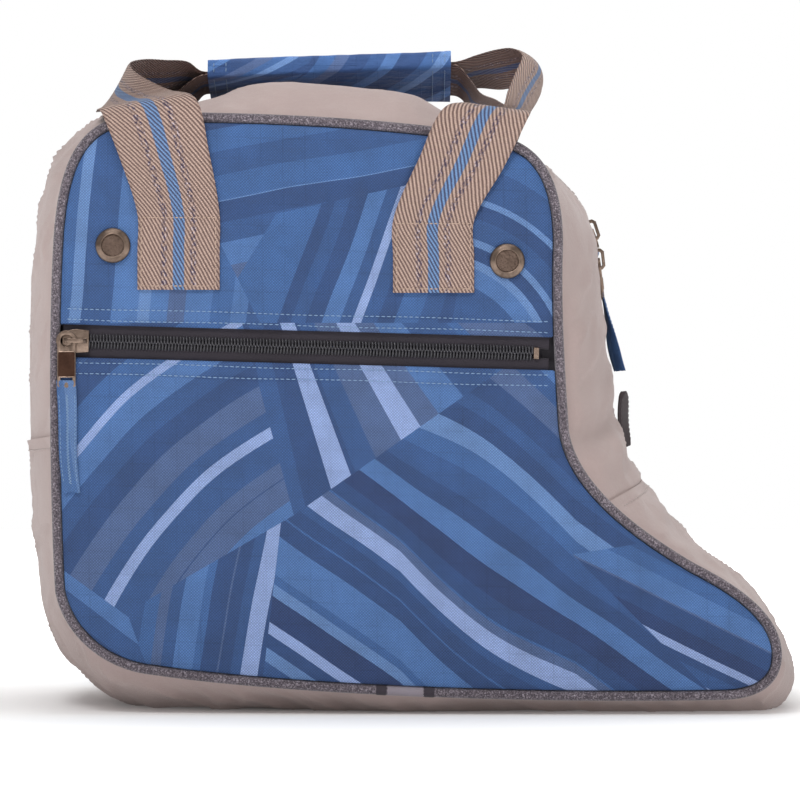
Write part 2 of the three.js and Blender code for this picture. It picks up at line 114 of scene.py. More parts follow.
SEAM = chain([-170, 62], [
    [[-172.5, 100], [-174, 195], [-170.5, 242.5]],
    [[-167, 283], [-155, 298], [-125, 299]],
    [[-60, 299], [5, 295], [50, 287]],
    [[68, 283], [80, 268], [79, 232]],
    [[78, 205], [80, 170], [82, 142]],
    [[86, 115], [115, 92], [146.5, 73.5]],
    [[165, 64], [188.5, 50], [188.5, 30]],
    [[188.5, 18], [180, 10], [160, 10]],
    [[60, 8], [-60, 13], [-123.5, 22.5]],
    [[-148, 25], [-166, 42], [-170, 62]],
])
CROWN = [
    *chain([-189, 62], [
        [[-193, 100], [-195, 190], [-192, 227]],
        [[-188, 262], [-180, 305], [-125, 309.5]],
        [[-60, 317], [5, 309.2], shoulder_point(SHOULDER["start"])],
    ]),
    arc,
    *chain(shoulder_point(SHOULDER["end"]), [
        [[111, 151]],
        [[114, 126], [132, 104], [159, 77]],
        [[174, 66], [199, 50], [201, 22]],
        [[203, 2], [192, -6], [165, -6]],
        [[-105, -6]],
        [[-145, -2], [-187, 18], [-189, 62]],
    ]),
]


def along(line, place):
    place = np.mod(np.atleast_1d(np.asarray(place, float)), SPANS)
    span = np.minimum(place.astype(int), SPANS - 1)
    points = np.zeros((len(place), 2))
    for k in range(SPANS):
        chosen = span == k
        if chosen.any():
            points[chosen] = line[k](place[chosen] - k)
    return points


def unit(vectors):
    return vectors / np.maximum(np.linalg.norm(vectors, axis=-1, keepdims=True), 1e-9)


def run_along(points):
    """The length of a line up to each of its points."""
    return np.concatenate([[0], np.cumsum(np.linalg.norm(np.diff(points, axis=0), axis=1))])


def sampled(at, run, points):
    """Points of a line at those lengths along it."""
    return np.stack([np.interp(at, run, points[:, k]) for k in range(points.shape[1])], axis=1)


def skin(place, y, level=0.0):
    """Points of the gusset at outline place and depth y, level above the cloth."""
    place, y, level = (a.ravel() for a in np.broadcast_arrays(*map(np.atleast_1d, (place, y, level))))
    share = (1 - np.abs(y / HALF_DEPTH) ** BULGE_POWER)[:, None]

    def at(s):
        return along(SEAM, s) * (1 - share) + along(CROWN, s) * share

    step = unit(at(place + 0.01) - at(place - 0.01))
    flat = at(place)
    x = flat[:, 0] - step[:, 1] * level
    z = np.maximum(flat[:, 1] + step[:, 0] * level, -level)
    return np.stack([x, y, z], axis=1)


def even_places(start, end, spacing, depth=60.0):
    """Places on the outline, evenly spaced along the cloth at one depth."""
    fine = np.linspace(start, end, 4000)
    line = skin(fine, depth)
    run = run_along(line)
    count = max(2, int(round(run[-1] / spacing)) + 1)
    steps = np.linspace(0, run[-1], count)
    return np.interp(steps, run, fine), steps


def seam_loop(inset, count=900):
    place = np.linspace(0, SPANS, count, endpoint=False)
    step = unit(along(SEAM, place + 0.01) - along(SEAM, place - 0.01))
    line = along(SEAM, place)
    return np.stack([line[:, 0] + step[:, 1] * inset, line[:, 1] - step[:, 0] * inset], axis=1)


# ---- meshes ----------------------------------------------------------------------------------
def add_mesh(name, points, faces, materials, body="root", slot=None, stands_for=(), uv=None,
             sharp=40.0, face_slots=None):
    """Makes a piece from points in millimetres with its materials, and says its body and what it replaces;
    slot, its finish, is not used.
    """
    mesh = bpy.data.meshes.new(name)
    mesh.from_pydata((np.asarray(points, float) * MM).tolist(), [], [list(map(int, f)) for f in faces])
    for material in materials if isinstance(materials, (list, tuple)) else [materials]:
        mesh.materials.append(material)
    if face_slots is not None:
        mesh.polygons.foreach_set("material_index", np.asarray(face_slots, np.int32))
    if uv is not None:
        layer = mesh.uv_layers.new(name="cloth")
        corners = np.zeros(len(mesh.loops), np.int32)
        mesh.loops.foreach_get("vertex_index", corners)
        layer.data.foreach_set("uv", np.asarray(uv, np.float32)[corners].ravel())
    built = bmesh.new()
    built.from_mesh(mesh)
    bmesh.ops.recalc_face_normals(built, faces=built.faces)
    built.to_mesh(mesh)
    built.free()
    mesh.polygons.foreach_set("use_smooth", np.ones(len(mesh.polygons), bool))
    mesh.set_sharp_from_angle(angle=math.radians(sharp))
    made = bpy.data.objects.new(name, mesh)
    bpy.context.scene.collection.objects.link(made)
    if body:
        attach(made, body)
    if stands_for:
        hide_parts(*stands_for)
    return made


class Heap:
    """Gathers many small closed shapes into one mesh."""

    def __init__(self):
        self.points, self.faces, self.count = [], [], 0

    def add(self, points, faces):
        self.points.append(points)
        self.faces.extend([tuple(i + self.count for i in face) for face in faces])
        self.count += len(points)

    def copies(self, template, faces, frames):
        """One copy of the template for each frame: origin, then three axes, as rows of 3."""
        for origin, x_axis, y_axis, z_axis in frames:
            self.add(origin + template @ np.stack([x_axis, y_axis, z_axis]), faces)

    def mesh(self, name, material, **settings):
        return add_mesh(name, np.concatenate(self.points), self.faces, material, **settings)


def loft(sections, loops=False):
    """Joins equal closed sections; open runs are capped with strips of quads."""
    sections = np.asarray(sections, float)
    rows, sides = sections.shape[:2]
    faces = []
    for i in range(rows if loops else rows - 1):
        a, b = i * sides, ((i + 1) % rows) * sides
        for j in range(sides):
            k = (j + 1) % sides
            faces.append((a + j, a + k, b + k, b + j))
    if not loops:
        for base in (0, (rows - 1) * sides):
            for j in range(sides // 2 - 1):
                faces.append((base + j, base + j + 1, base + sides - 2 - j, base + sides - 1 - j))
    return sections.reshape(-1, 3), faces


def tube(path, radius, sides=12, loops=False, up=(0, 1, 0)):
    path = np.asarray(path, float)
    if loops:
        step = unit(np.roll(path, -1, axis=0) - np.roll(path, 1, axis=0))
    else:
        step = unit(np.gradient(path, axis=0))
    side = unit(np.cross(step, np.broadcast_to(np.array(up, float), step.shape)))
    over = np.cross(side, step)
    radius = np.broadcast_to(np.asarray(radius, float), (len(path),))[:, None, None]
    turn = np.linspace(0, 2 * np.pi, sides, endpoint=False)
    ring = np.cos(turn)[None, :, None] * side[:, None] + np.sin(turn)[None, :, None] * over[:, None]
    return loft(path[:, None] + ring * radius, loops)


def lathe(profile, centre, axis, side, segments=64):
    """Turns a profile of (radius, height) pairs round an axis through centre."""
    axis, side = np.array(axis, float), np.array(side, float)
    other = np.cross(axis, side)
    turn = np.linspace(0, 2 * np.pi, segments, endpoint=False)
    ring = np.cos(turn)[:, None] * side + np.sin(turn)[:, None] * other
    centre = np.array(centre, float)
    rows = [centre + axis * height + ring * max(radius, 0.02) for radius, height in profile]
    points = np.concatenate(rows)
    faces = []
    for i in range(len(rows) - 1):
        a, b = i * segments, (i + 1) * segments
        for j in range(segments):
            k = (j + 1) % segments
            faces.append((a + j, a + k, b + k, b + j))
    faces.append(tuple(range(segments)))
    faces.append(tuple(range((len(rows) - 1) * segments, len(rows) * segments)))
    return points, faces


def fbm(points, scale, seed, octaves=3):
    """Smooth noise from about -1 to 1 at points, with features of the given size."""
    scale = np.broadcast_to(np.asarray(scale, float), (3,))
    shifted = np.asarray(points, float) / scale + np.array([seed * 7.3, seed * 3.1, seed * 5.7])
    return np.array([noise.fractal(Vector(p), 0.9, 2.1, octaves) for p in shifted])


def smooth(low, high, value):
    share = np.clip((value - low) / (high - low), 0, 1)
    return share * share * (3 - 2 * share)


# ---- stitches --------------------------------------------------------------------------------
def stitch_template(length, radius, sides=6):
    stations = [(-0.5, 0.15), (-0.4, 0.75), (-0.2, 1.0), (0.2, 1.0), (0.4, 0.75), (0.5, 0.15)]
    turn = np.linspace(0, 2 * np.pi, sides, endpoint=False)
    rings = []
    for at, size in stations:
        wide = radius * size
        place = np.full(sides, at * length)
        rings.append(np.stack([place, wide * np.cos(turn), wide * np.sin(turn)], axis=1))
    return loft(rings)


STITCH_SINK = 0.05  # how much of a stitch's radius lies in the cloth


def sew(heap, path, up, pitch, length, radius, seed):
    """Lays stitches along a path whose up is the cloth's normal there."""
    path = np.asarray(path, float)
    up = np.broadcast_to(np.asarray(up, float), path.shape)
    run = run_along(path)
    middles = np.arange(pitch / 2, run[-1], pitch)
    at = sampled(middles, run, path)
    step = unit(sampled(middles + 0.3, run, path) - sampled(middles - 0.3, run, path))
    over = unit(sampled(middles, run, up))
    side = np.cross(over, step)
    template, faces = stitch_template(length, radius)
    loose = np.random.default_rng(seed)
    for k in range(len(at)):
        lean = loose.normal(0, 0.05)
        x_axis = step[k] * math.cos(lean) + side[k] * math.sin(lean)
        y_axis = np.cross(over[k], x_axis)
        middle = at[k] + over[k] * (radius - STITCH_SINK) * 0.5
        heap.copies(template, faces, [(middle, x_axis, y_axis, over[k])])


# ---- materials -------------------------------------------------------------------------------
def srgb(red, green, blue):
    parts = []
    for value in (red, green, blue):
        share = value / 255
        parts.append(share / 12.92 if share <= 0.04045 else ((share + 0.055) / 1.055) ** 2.4)
    return (*parts, 1.0)


class Graph:
    def __init__(self, tree):
        self.tree = tree
        tree.nodes.clear()

    def node(self, kind, inputs=(), **settings):
        made = self.tree.nodes.new("ShaderNode" + kind)
        for name, value in settings.items():
            setattr(made, name, value)
        for key, value in dict(inputs).items():
            if isinstance(value, bpy.types.NodeSocket):
                self.tree.links.new(value, made.inputs[key])
            else:
                made.inputs[key].default_value = value
        return made

    def math(self, operation, a, b=0.0, c=0.0, clamp=False):
        return self.node("Math", {0: a, 1: b, 2: c}, operation=operation, use_clamp=clamp).outputs[0]

    def add(self, *terms):
        total = terms[0]
        for term in terms[1:]:
            total = self.math("ADD", total, term)
        return total

    def mix(self, share, a, b, blend="MIX"):
        made = self.node("Mix", {0: share, 6: a, 7: b}, data_type="RGBA", blend_type=blend)
        return made.outputs[2]

    def ramp(self, value, stops, interpolation="LINEAR"):
        made = self.node("ValToRGB", {0: value})
        made.color_ramp.interpolation = interpolation
        elements = made.color_ramp.elements
        while len(elements) > 1:
            elements.remove(elements[-1])
        elements[0].position, elements[0].color = stops[0][0], stops[0][1]
        for position, colour in stops[1:]:
            elements.new(position).color = colour
        return made.outputs[0]

    def noise(self, vector, scale, detail=2.0, roughness=0.5):
        inputs = {"Vector": vector, "Scale": scale, "Detail": detail, "Roughness": roughness}
        return self.node("TexNoise", inputs).outputs[0]

    def scaled(self, vector, factors):
        return self.node("Mapping", {"Vector": vector, "Scale": factors}).outputs[0]

    def place_mm(self):
        """The place on the object, in millimetres."""
        return self.scaled(self.node("TexCoord").outputs["Object"], (1000, 1000, 1000))

    def even(self, tone):
        """The same tone in all three colours."""
        return self.node("CombineColor", {0: tone, 1: tone, 2: tone}).outputs[0]

    def wave(self, value, pitch):
        """A sine from 0 to 1 with that pitch, in the units of value."""
        turn = self.math("MULTIPLY", value, 2 * math.pi / pitch)
        return self.math("MULTIPLY_ADD", self.math("SINE", turn), 0.5, 0.5)

    def parts(self, vector):
        return self.node("SeparateXYZ", {0: vector}).outputs

    def bump(self, height, distance, strength=1.0, normal=None):
        inputs = {"Height": height, "Distance": distance, "Strength": strength}
        if normal is not None:
            inputs["Normal"] = normal
        return self.node("Bump", inputs).outputs[0]


def grey(value):
    return (value, value, value, 1.0)


def new_material(name, build, **surface):
    """build(graph) gives the linked inputs of the shader; surface are its uniform values."""
    material = bpy.data.materials.new(name)
    material.use_nodes = True
    graph = Graph(material.node_tree)
    linked = build(graph)
    uniform = {key.replace("_", " "): value for key, value in surface.items()}
    shader = graph.node("BsdfPrincipled", {**uniform, **linked})
    output = graph.node("OutputMaterial")
    graph.tree.links.new(shader.outputs[0], output.inputs[0])
    return material


BLUES = [srgb(*c) for c in (
    (40, 60, 102), (44, 70, 115), (50, 80, 128), (58, 92, 143), (72, 107, 159), (92, 124, 172),
    (132, 152, 196), (72, 92, 132),
)]
NAVY, DARK, DEEP, MID, CLEAR, LIGHT, PALE, DUSTY = range(8)

# The print: patches of curved stripes. Each has a measure across its stripes, edges (a, b, c), where
# a*x + b*z + c is above 0 inside it, and stops (measure, blue). Later patches lie over earlier ones.
PRINT_PATCHES = [
    (("sweep", 0.70), [], [
        (-60, DEEP), (-20, LIGHT), (-12, DARK), (-4, PALE), (2, NAVY), (16, LIGHT), (21, MID),
        (27, CLEAR), (46, DARK), (57, MID), (57.8, DARK), (66, DEEP), (71, PALE), (81, DUSTY),
        (87, MID), (87.8, DARK), (97, NAVY), (107, CLEAR), (119, DARK), (128, DEEP), (139, MID),
        (147, LIGHT), (158, DARK), (168, DEEP), (176, DARK), (190, DUSTY), (205, DEEP),
        (216, CLEAR), (226, DARK), (240, MID), (250, LIGHT), (258, NAVY)]),
    (("line", 0.5, 1.0), [(1.0, 1.0, -166.5), (0.16, -1.0, 66.7)], [
        (60, DARK), (84, PALE), (90, DEEP), (97, DARK), (101.5, PALE), (105.5, NAVY), (113, DARK),
        (122.5, DUSTY), (123.3, CLEAR), (134, MID), (142, DEEP)]),
    (("line", 1.0, -0.17), [(-1.0, 0.115, -70.5), (0.58, -1.0, 130.7), (1.0, 0.363, 117.6)], [
        (-150, DEEP), (-136, MID), (-129, DUSTY), (-124, DEEP), (-118, CLEAR), (-108, MID),
        (-104, DARK), (-95, DUSTY), (-94.2, DARK), (-88, DEEP), (-82.5, PALE), (-74, DARK),
        (-71, DEEP)]),
    (("line", 0.72, 1.0), [(-1.0, -0.363, -117.6), (-0.72, -1.0, -48.5)], [
        (-90, DARK), (-70, DEEP), (-58, CLEAR), (-48, MID)]),
    (("ring", 43.0, -42.0), [(-1.0, -0.27, -26.0), (-0.58, 1.0, -130.7), (0.72, 1.0, 48.5)], [
        (150, DARK), (166, CLEAR), (178, DUSTY), (188, DARK), (188.8, DUSTY), (196, DEEP),
        (209, PALE), (214.5, DEEP), (222, DUSTY), (235, DARK), (246, DEEP), (256, CLEAR),
        (267, PALE), (271, MID), (283, DARK), (296, DEEP)]),
    (("fan", -95.0, 310.0), [(1.0, 0.27, 26.0), (-0.70, 1.0, -137.1)], [
        (6, DARK), (9.5, DEEP), (13, DARK), (17, PALE), (20.2, DARK), (21.0, DEEP), (24.5, DUSTY),
        (28.8, PALE), (32.3, DUSTY), (35.5, CLEAR), (40, DEEP), (46, MID), (47.2, DUSTY),
        (54, DARK)]),
    (("line", -0.18, 1.0), [(0.0, 1.0, -196.0)], [
        (180, MID), (214, CLEAR), (226, DUSTY), (240, CLEAR), (252, DEEP), (262, DARK),
        (272.6, LIGHT), (273.3, MID), (286, DEEP), (298, MID), (309, DARK)]),
    (("line", 1.0, -0.36), [(0.0, 1.0, -196.0), (0.22, -1.0, 264.0), (1.0, -0.6, 212.0)], [
        (-170, MID), (-132, DARK), (-125, DEEP), (-118, DARK), (-110, CLEAR), (-101, DEEP),
        (-95, PALE), (-90.5, DEEP), (-83, DARK), (-74, MID), (-62, DEEP), (-52, DARK), (-40, MID)]),
    (("line", 1.0, -0.10), [(0.0, 1.0, -196.0), (-1.0, -0.5, 28.0)], [
        (-200, MID), (-186, LIGHT), (-180, DEEP), (-165, CLEAR), (-151, LIGHT), (-145, CLEAR),
        (-136, DUSTY), (-127, CLEAR), (-114, MID), (-104, CLEAR), (-96, DEEP)]),
    (("ring", 10.0, 165.0), [(0.0, 1.0, -196.0), (1.0, -0.2, 13.5)], [
        (30, DEEP), (56, CLEAR), (64, LIGHT), (68, DARK), (74, LIGHT), (77.5, DEEP), (87, DARK),
        (94, LIGHT), (97, DEEP), (112, MID), (124, DARK), (140, DEEP)]),
]


GRIP_PATCHES = [
    (("line", 1.0, -0.34), [], [
        (-160, DARK), (-126, DEEP), (-117, NAVY), (-104, MID), (-96, DARK), (-90, LIGHT),
        (-84, DEEP), (-76, DARK), (-64, MID), (-56, DUSTY), (-49, DARK), (-38, DEEP), (-30, CLEAR),
        (-22, DARK), (-9, MID), (-2, LIGHT), (4, DEEP), (12, DARK), (22, CLEAR), (30, DARK)]),
    (("line", 1.0, -0.9), [(-1.0, 0.25, -62.0)], [
        (-190, DARK), (-166, DEEP), (-156, MID), (-148, CLEAR), (-143, DARK), (-131, DUSTY),
        (-122, MID), (-116, LIGHT), (-110, DEEP), (-100, DARK), (-92, MID), (-84, DEEP)]),
]


def print_group(name, patches):
    """The printed cloth's colour at x and z, in millimetres."""
    tree = bpy.data.node_groups.new(name, "ShaderNodeTree")
    for axis in ("X", "Z"):
        tree.interface.new_socket(name=axis, in_out="INPUT", socket_type="NodeSocketFloat")
    tree.interface.new_socket(name="Color", in_out="OUTPUT", socket_type="NodeSocketColor")
    g = Graph(tree)
    given = tree.nodes.new("NodeGroupInput")
    x, z = given.outputs[0], given.outputs[1]
    place = g.node("CombineXYZ", {0: x, 1: z}).outputs[0]
    # stripes swell and narrow on their way
    drift = g.math("MULTIPLY_ADD", g.noise(place, 0.013, 1.0), 16.0, -8.0)

    def measured(kind, a=0.0, b=0.0):
        if kind == "line":
            return g.math("MULTIPLY_ADD", x, a, g.math("MULTIPLY", z, b))
        if kind == "ring":
            across, up = g.math("SUBTRACT", x, a), g.math("SUBTRACT", z, b)
            return g.math("SQRT", g.math("MULTIPLY_ADD", across, across, g.math("MULTIPLY", up, up)))
        if kind == "fan":
            turn = g.math("ARCTAN2", g.math("SUBTRACT", x, a), g.math("SUBTRACT", b, z))
            return g.math("MULTIPLY", turn, 180 / math.pi)
        flat = g.math("MULTIPLY_ADD", x, a, z)
        swept = g.math("MINIMUM", g.math("MAXIMUM", x, 0.0), 88.0)
        swing = g.math("SINE", g.math("MULTIPLY", swept, math.pi / 88))
        share = g.math("MAXIMUM", g.math("MULTIPLY_ADD", flat, -1 / 40, 117 / 40), -1.0)
        share = g.math("MINIMUM", share, 1.0)
        return g.math("MULTIPLY_ADD", g.math("MULTIPLY", swing, share), 9.0, flat)

    colour = None
    for kind, edges, stops in patches:
        measure = measured(*kind)
        if kind[0] != "fan":
            measure = g.math("ADD", measure, g.math("MULTIPLY", drift, 0.35))
        low = stops[0][0]
        size = stops[-1][0] + 1 - low
        share = g.math("MULTIPLY_ADD", measure, 1 / size, -low / size)
        colours = [(max((at - low) / size, 0.0), BLUES[blue]) for at, blue in stops]
        stripes = g.ramp(share, colours, "CONSTANT")
        if colour is None:
            colour = stripes
            continue
        mask = None
        for a, b, c in edges:
            inside = g.math("MULTIPLY_ADD", x, a, g.math("MULTIPLY_ADD", z, b, c))
            inside = g.math("GREATER_THAN", inside, 0.0)
            mask = inside if mask is None else g.math("MULTIPLY", mask, inside)
        colour = g.mix(mask, colour, stripes)
    given_back = tree.nodes.new("NodeGroupOutput")
    tree.links.new(colour, given_back.inputs[0])
    return tree


PRINT = print_group("curved_stripe_print", PRINT_PATCHES)
GRIP_CUT = print_group("curved_stripe_print_grip", GRIP_PATCHES)
RIPSTOP = 11.0  # millimetres between the stronger threads


def printed_cloth(name, place, shift=(0.0, 0.0), pattern=PRINT, gain=1.0):
    """place(graph) gives the cloth's own x and z in millimetres."""

    def build(g):
        x, z = place(g)
        group = g.node("Group")
        group.node_tree = pattern
        for socket, value in ((0, g.math("ADD", x, shift[0])), (1, g.math("ADD", z, shift[1]))):
            g.tree.links.new(value, group.inputs[socket])
        colour = group.outputs[0]
        spot = g.node("CombineXYZ", {0: x, 1: z}).outputs[0]
        sway = g.math("MULTIPLY_ADD", g.noise(spot, 0.02, 2.0), 1.6, -0.8)
        warp = g.add(x, g.math("MULTIPLY", z, 0.012), sway)
        weft = g.add(z, g.math("MULTIPLY", x, 0.035), sway)

        def thread(value):
            near = g.math("PINGPONG", value, RIPSTOP / 2)
            return g.math("SUBTRACT", 1.0, g.math("MULTIPLY", near, 1 / 0.55), clamp=True)

        dashes = g.math("MULTIPLY_ADD", g.wave(weft, 1.9), 0.45, 0.55)
        dashes_across = g.math("MULTIPLY_ADD", g.wave(warp, 1.9), 0.45, 0.55)
        ribs = g.math("MAXIMUM", g.math("MULTIPLY", thread(warp), dashes),
                      g.math("MULTIPLY", thread(weft), dashes_across))
        over = g.wave(warp, 1.45)
        under = g.wave(weft, 1.45)
        weave = g.math("ABSOLUTE", g.math("SUBTRACT", over, under))
        mottle = g.noise(spot, 0.045, 3.0, 0.6)
        flecks = g.noise(spot, 1.3, 2.0, 0.7)
        # gain scales the whole print's tone; the grip's high gain is painted light.
        tone = g.math("MULTIPLY_ADD", mottle, 0.7 * gain, 0.66 * gain)
        tone = g.math("MULTIPLY", tone, g.math("MULTIPLY_ADD", flecks, 0.8, 0.62))
        tone = g.math("MULTIPLY", tone, g.math("MULTIPLY_ADD", weave, 0.7, 0.68))
        wear = g.math("MULTIPLY_ADD", g.noise(spot, 0.025, 2.0), 1.6, -0.95)
        worn = g.math("MULTIPLY", wear, 0.5)
        tone = g.math("MULTIPLY", tone, g.math("MULTIPLY_ADD", ribs, worn, 1.0))
        colour = g.mix(1.0, colour, g.even(tone), "MULTIPLY")
        height = g.add(g.math("MULTIPLY", weave, 0.5), g.math("MULTIPLY", ribs, 1.1))
        normal = g.bump(height, 0.00022, 0.55)
        soft = g.noise(spot, 0.035, 4.0, 0.55)
        normal = g.bump(soft, 0.006, 0.6, normal)
        rough = g.math("MULTIPLY_ADD", mottle, 0.18, 0.55)
        return {"Base Color": colour, "Normal": normal, "Roughness": rough}

    return new_material(name, build, Sheen_Weight=0.15, Sheen_Roughness=0.4, Specular_IOR_Level=0.35)


def object_mm(g):
    x, _, z = g.parts(g.place_mm())[:3]
    return x, z


def grip_mm(g):
    """The wrap's cloth: along the grip, and round it."""
    x, y, z = g.parts(g.place_mm())[:3]
    return x, g.math("MULTIPLY_ADD", z, 2.2, g.math("MULTIPLY_ADD", y, -1.2, -700.0))


def sheet_mm(g):
    u, v = g.parts(g.scaled(g.node("UVMap", uv_map="cloth").outputs[0], (1000, 1000, 1000)))[:2]
    return u, v


def plain_weave(colour, dark, pitch, name, roughness=0.72, depth=0.00012, uv=True):
    def build(g):
        u, v = (sheet_mm if uv else object_mm)(g)
        spot = g.node("CombineXYZ", {0: u, 1: v}).outputs[0]
        sway = g.math("MULTIPLY_ADD", g.noise(spot, 0.05, 2.0), 0.6, -0.3)
        over = g.wave(g.add(u, sway), pitch)
        under = g.wave(g.add(v, sway), pitch)
        weave = g.math("ABSOLUTE", g.math("SUBTRACT", over, under))
        clouds = g.noise(spot, 0.03, 4.0, 0.6)
        flecks = g.noise(spot, 0.9, 3.0, 0.7)
        share = g.math("MULTIPLY_ADD", clouds, 0.75, g.math("MULTIPLY_ADD", flecks, 0.4, -0.2), clamp=True)
        base = g.mix(share, srgb(*dark), srgb(*colour))
        shade = g.math("MULTIPLY_ADD", weave, 0.10, 0.94)
        base = g.mix(1.0, base, g.even(shade), "MULTIPLY")
        normal = g.bump(weave, depth, 0.5)
        normal = g.bump(g.noise(spot, 0.11, 4.0, 0.55), 0.0014, 0.4, normal)
        rough = g.math("MULTIPLY_ADD", clouds, 0.2, roughness - 0.1)
        return {"Base Color": base, "Normal": normal, "Roughness": rough}

    return new_material(name, build, Sheen_Weight=0.25, Sheen_Roughness=0.45, Specular_IOR_Level=0.3)


def piping_cloth():
    """Melange yarn: pale and dark fibres twisted together."""

    def build(g):
        spot = g.place_mm()
        yarn = g.noise(spot, 1.25, 2.0, 0.8)
        clouds = g.noise(spot, 0.12, 3.0, 0.6)
        share = g.math("MULTIPLY_ADD", clouds, 0.3, g.math("MULTIPLY_ADD", yarn, 2.6, -1.05), clamp=True)
        base = g.ramp(share, [(0.0, srgb(48, 41, 50)), (0.42, srgb(88, 79, 86)), (0.7, srgb(130, 120, 128)),
                              (1.0, srgb(174, 166, 174))])
        normal = g.bump(yarn, 0.0004, 0.7)
        return {"Base Color": base, "Normal": normal}

    return new_material("melange_piping", build, Roughness=0.85, Sheen_Weight=0.3, Sheen_Roughness=0.5)


def webbing(name, tan, tan_dark, blue, fleck):
    """Twill tape 40 mm wide, with a blue stripe between two speckled ones."""

    def build(g):
        u, v = sheet_mm(g)
        lean = g.add(g.math("MULTIPLY", u, 0.88), g.math("MULTIPLY", v, 0.475))
        along_rib = g.add(g.math("MULTIPLY", v, 0.88), g.math("MULTIPLY", u, -0.475))
        spot = g.node("CombineXYZ", {0: u, 1: v}).outputs[0]
        wobble = g.math("MULTIPLY_ADD", g.noise(spot, 0.3, 2.0), 0.5, -0.25)
        twill = g.wave(g.add(lean, wobble), 1.62)
        picks = g.wave(along_rib, 1.05)
        rib = g.math("MULTIPLY", g.math("POWER", twill, 0.7), g.math("MULTIPLY_ADD", picks, 0.25, 0.75))
        fuzz = g.math("MULTIPLY_ADD", g.noise(spot, 0.8, 3.0), 0.4, -0.3)
        share = g.math("MULTIPLY_ADD", rib, 1.15, fuzz, clamp=True)
        ground = g.mix(share, srgb(*tan_dark), srgb(*tan))

        def stripe(middle, half, soft=0.3):
            away = g.math("ABSOLUTE", g.math("SUBTRACT", g.add(u, wobble), middle))
            return g.math("MULTIPLY", g.math("SUBTRACT", half, away), 1 / soft, clamp=True)

        blue_yarn = g.mix(share, srgb(*blue[0]), srgb(*blue[1]))
        base = g.mix(stripe(20.0, 2.9), ground, blue_yarn)
        sides = g.math("MAXIMUM", stripe(12.9, 1.9, 0.8), stripe(27.1, 1.9, 0.8))
        dark_spots = g.math("GREATER_THAN", g.noise(g.scaled(spot, (1.0, 0.55, 1)), 0.75, 2.0), 0.5)
        pale_spots = g.math("GREATER_THAN", g.noise(g.scaled(spot, (1.2, 0.7, 1)), 0.9, 1.0), 0.6)
        gaps = g.math("MULTIPLY_ADD", twill, -0.55, 1.0)
        dark_share = g.math("MULTIPLY", g.math("MULTIPLY", sides, dark_spots), gaps)
        base = g.mix(dark_share, base, srgb(*fleck[0]))
        pale_share = g.math("MULTIPLY", g.math("MULTIPLY", sides, pale_spots), twill)
        base = g.mix(pale_share, base, srgb(*fleck[1]))
        edge = g.math("GREATER_THAN", g.math("ABSOLUTE", g.math("SUBTRACT", u, 20.0)), 18.8)
        base = g.mix(g.math("MULTIPLY", edge, 0.25), base, srgb(*tan_dark))
        normal = g.bump(g.math("MULTIPLY_ADD", picks, 0.2, twill), 0.0007, 0.9)
        return {"Base Color": base, "Normal": normal}

    return new_material(name, build, Roughness=0.82, Sheen_Weight=0.25, Sheen_Roughness=0.5,
                        Specular_IOR_Level=0.3)


def metal(name, bright, dark, roughness, pebbles=0.0, scratches=0.35):
    def build(g):
        spot = g.place_mm()
        wear = g.noise(spot, 0.35, 4.0, 0.65)
        lines = g.noise(g.scaled(spot, (0.35, 0.35, 3.2)), 1.1, 3.0, 0.7)
        share = g.math("MULTIPLY_ADD", wear, 1.3, -0.15, clamp=True)
        base = g.mix(share, srgb(*dark), srgb(*bright))
        rough = g.math("MULTIPLY_ADD", lines, scratches, roughness - 0.12)
        if pebbles:
            dots = g.node("TexVoronoi", {"Vector": spot, "Scale": 0.95}, feature="SMOOTH_F1").outputs[0]
            normal = g.bump(dots, -0.0005, pebbles)
        else:
            normal = g.bump(lines, 0.00006, 0.5)
        return {"Base Color": base, "Roughness": rough, "Normal": normal}

    return new_material(name, build, Metallic=1.0)


def nylon(name, colour, dark, roughness):
    def build(g):
        spot = g.place_mm()
        grain = g.noise(spot, 1.4, 3.0, 0.6)
        base = g.mix(grain, srgb(*dark), srgb(*colour))
        rough = g.math("MULTIPLY_ADD", grain, 0.2, roughness - 0.1)
        return {"Base Color": base, "Roughness": rough, "Normal": g.bump(grain, 0.00008, 0.4)}

    return new_material(name, build)


def leather(name):
    def build(g):
        spot = g.place_mm()
        cells = g.node("TexVoronoi", {"Vector": spot, "Scale": 0.9}, feature="DISTANCE_TO_EDGE").outputs[0]
        clouds = g.noise(spot, 0.15, 4.0, 0.6)
        base = g.mix(clouds, srgb(34, 25, 30), srgb(66, 51, 54))
        normal = g.bump(g.math("MINIMUM", cells, 0.3), 0.0004, 0.6)
        rough = g.math("MULTIPLY_ADD", clouds, 0.25, 0.45)
        return {"Base Color": base, "Roughness": rough, "Normal": normal}

    return new_material(name, build)


def thread(name, colour, dark):
    def build(g):
        spot = g.place_mm()
        ply = g.noise(spot, 2.2, 2.0, 0.6)
        base = g.mix(ply, srgb(*dark), srgb(*colour))
        return {"Base Color": base, "Normal": g.bump(ply, 0.0001, 0.6)}

    return new_material(name, build, Roughness=0.6, Sheen_Weight=0.2)


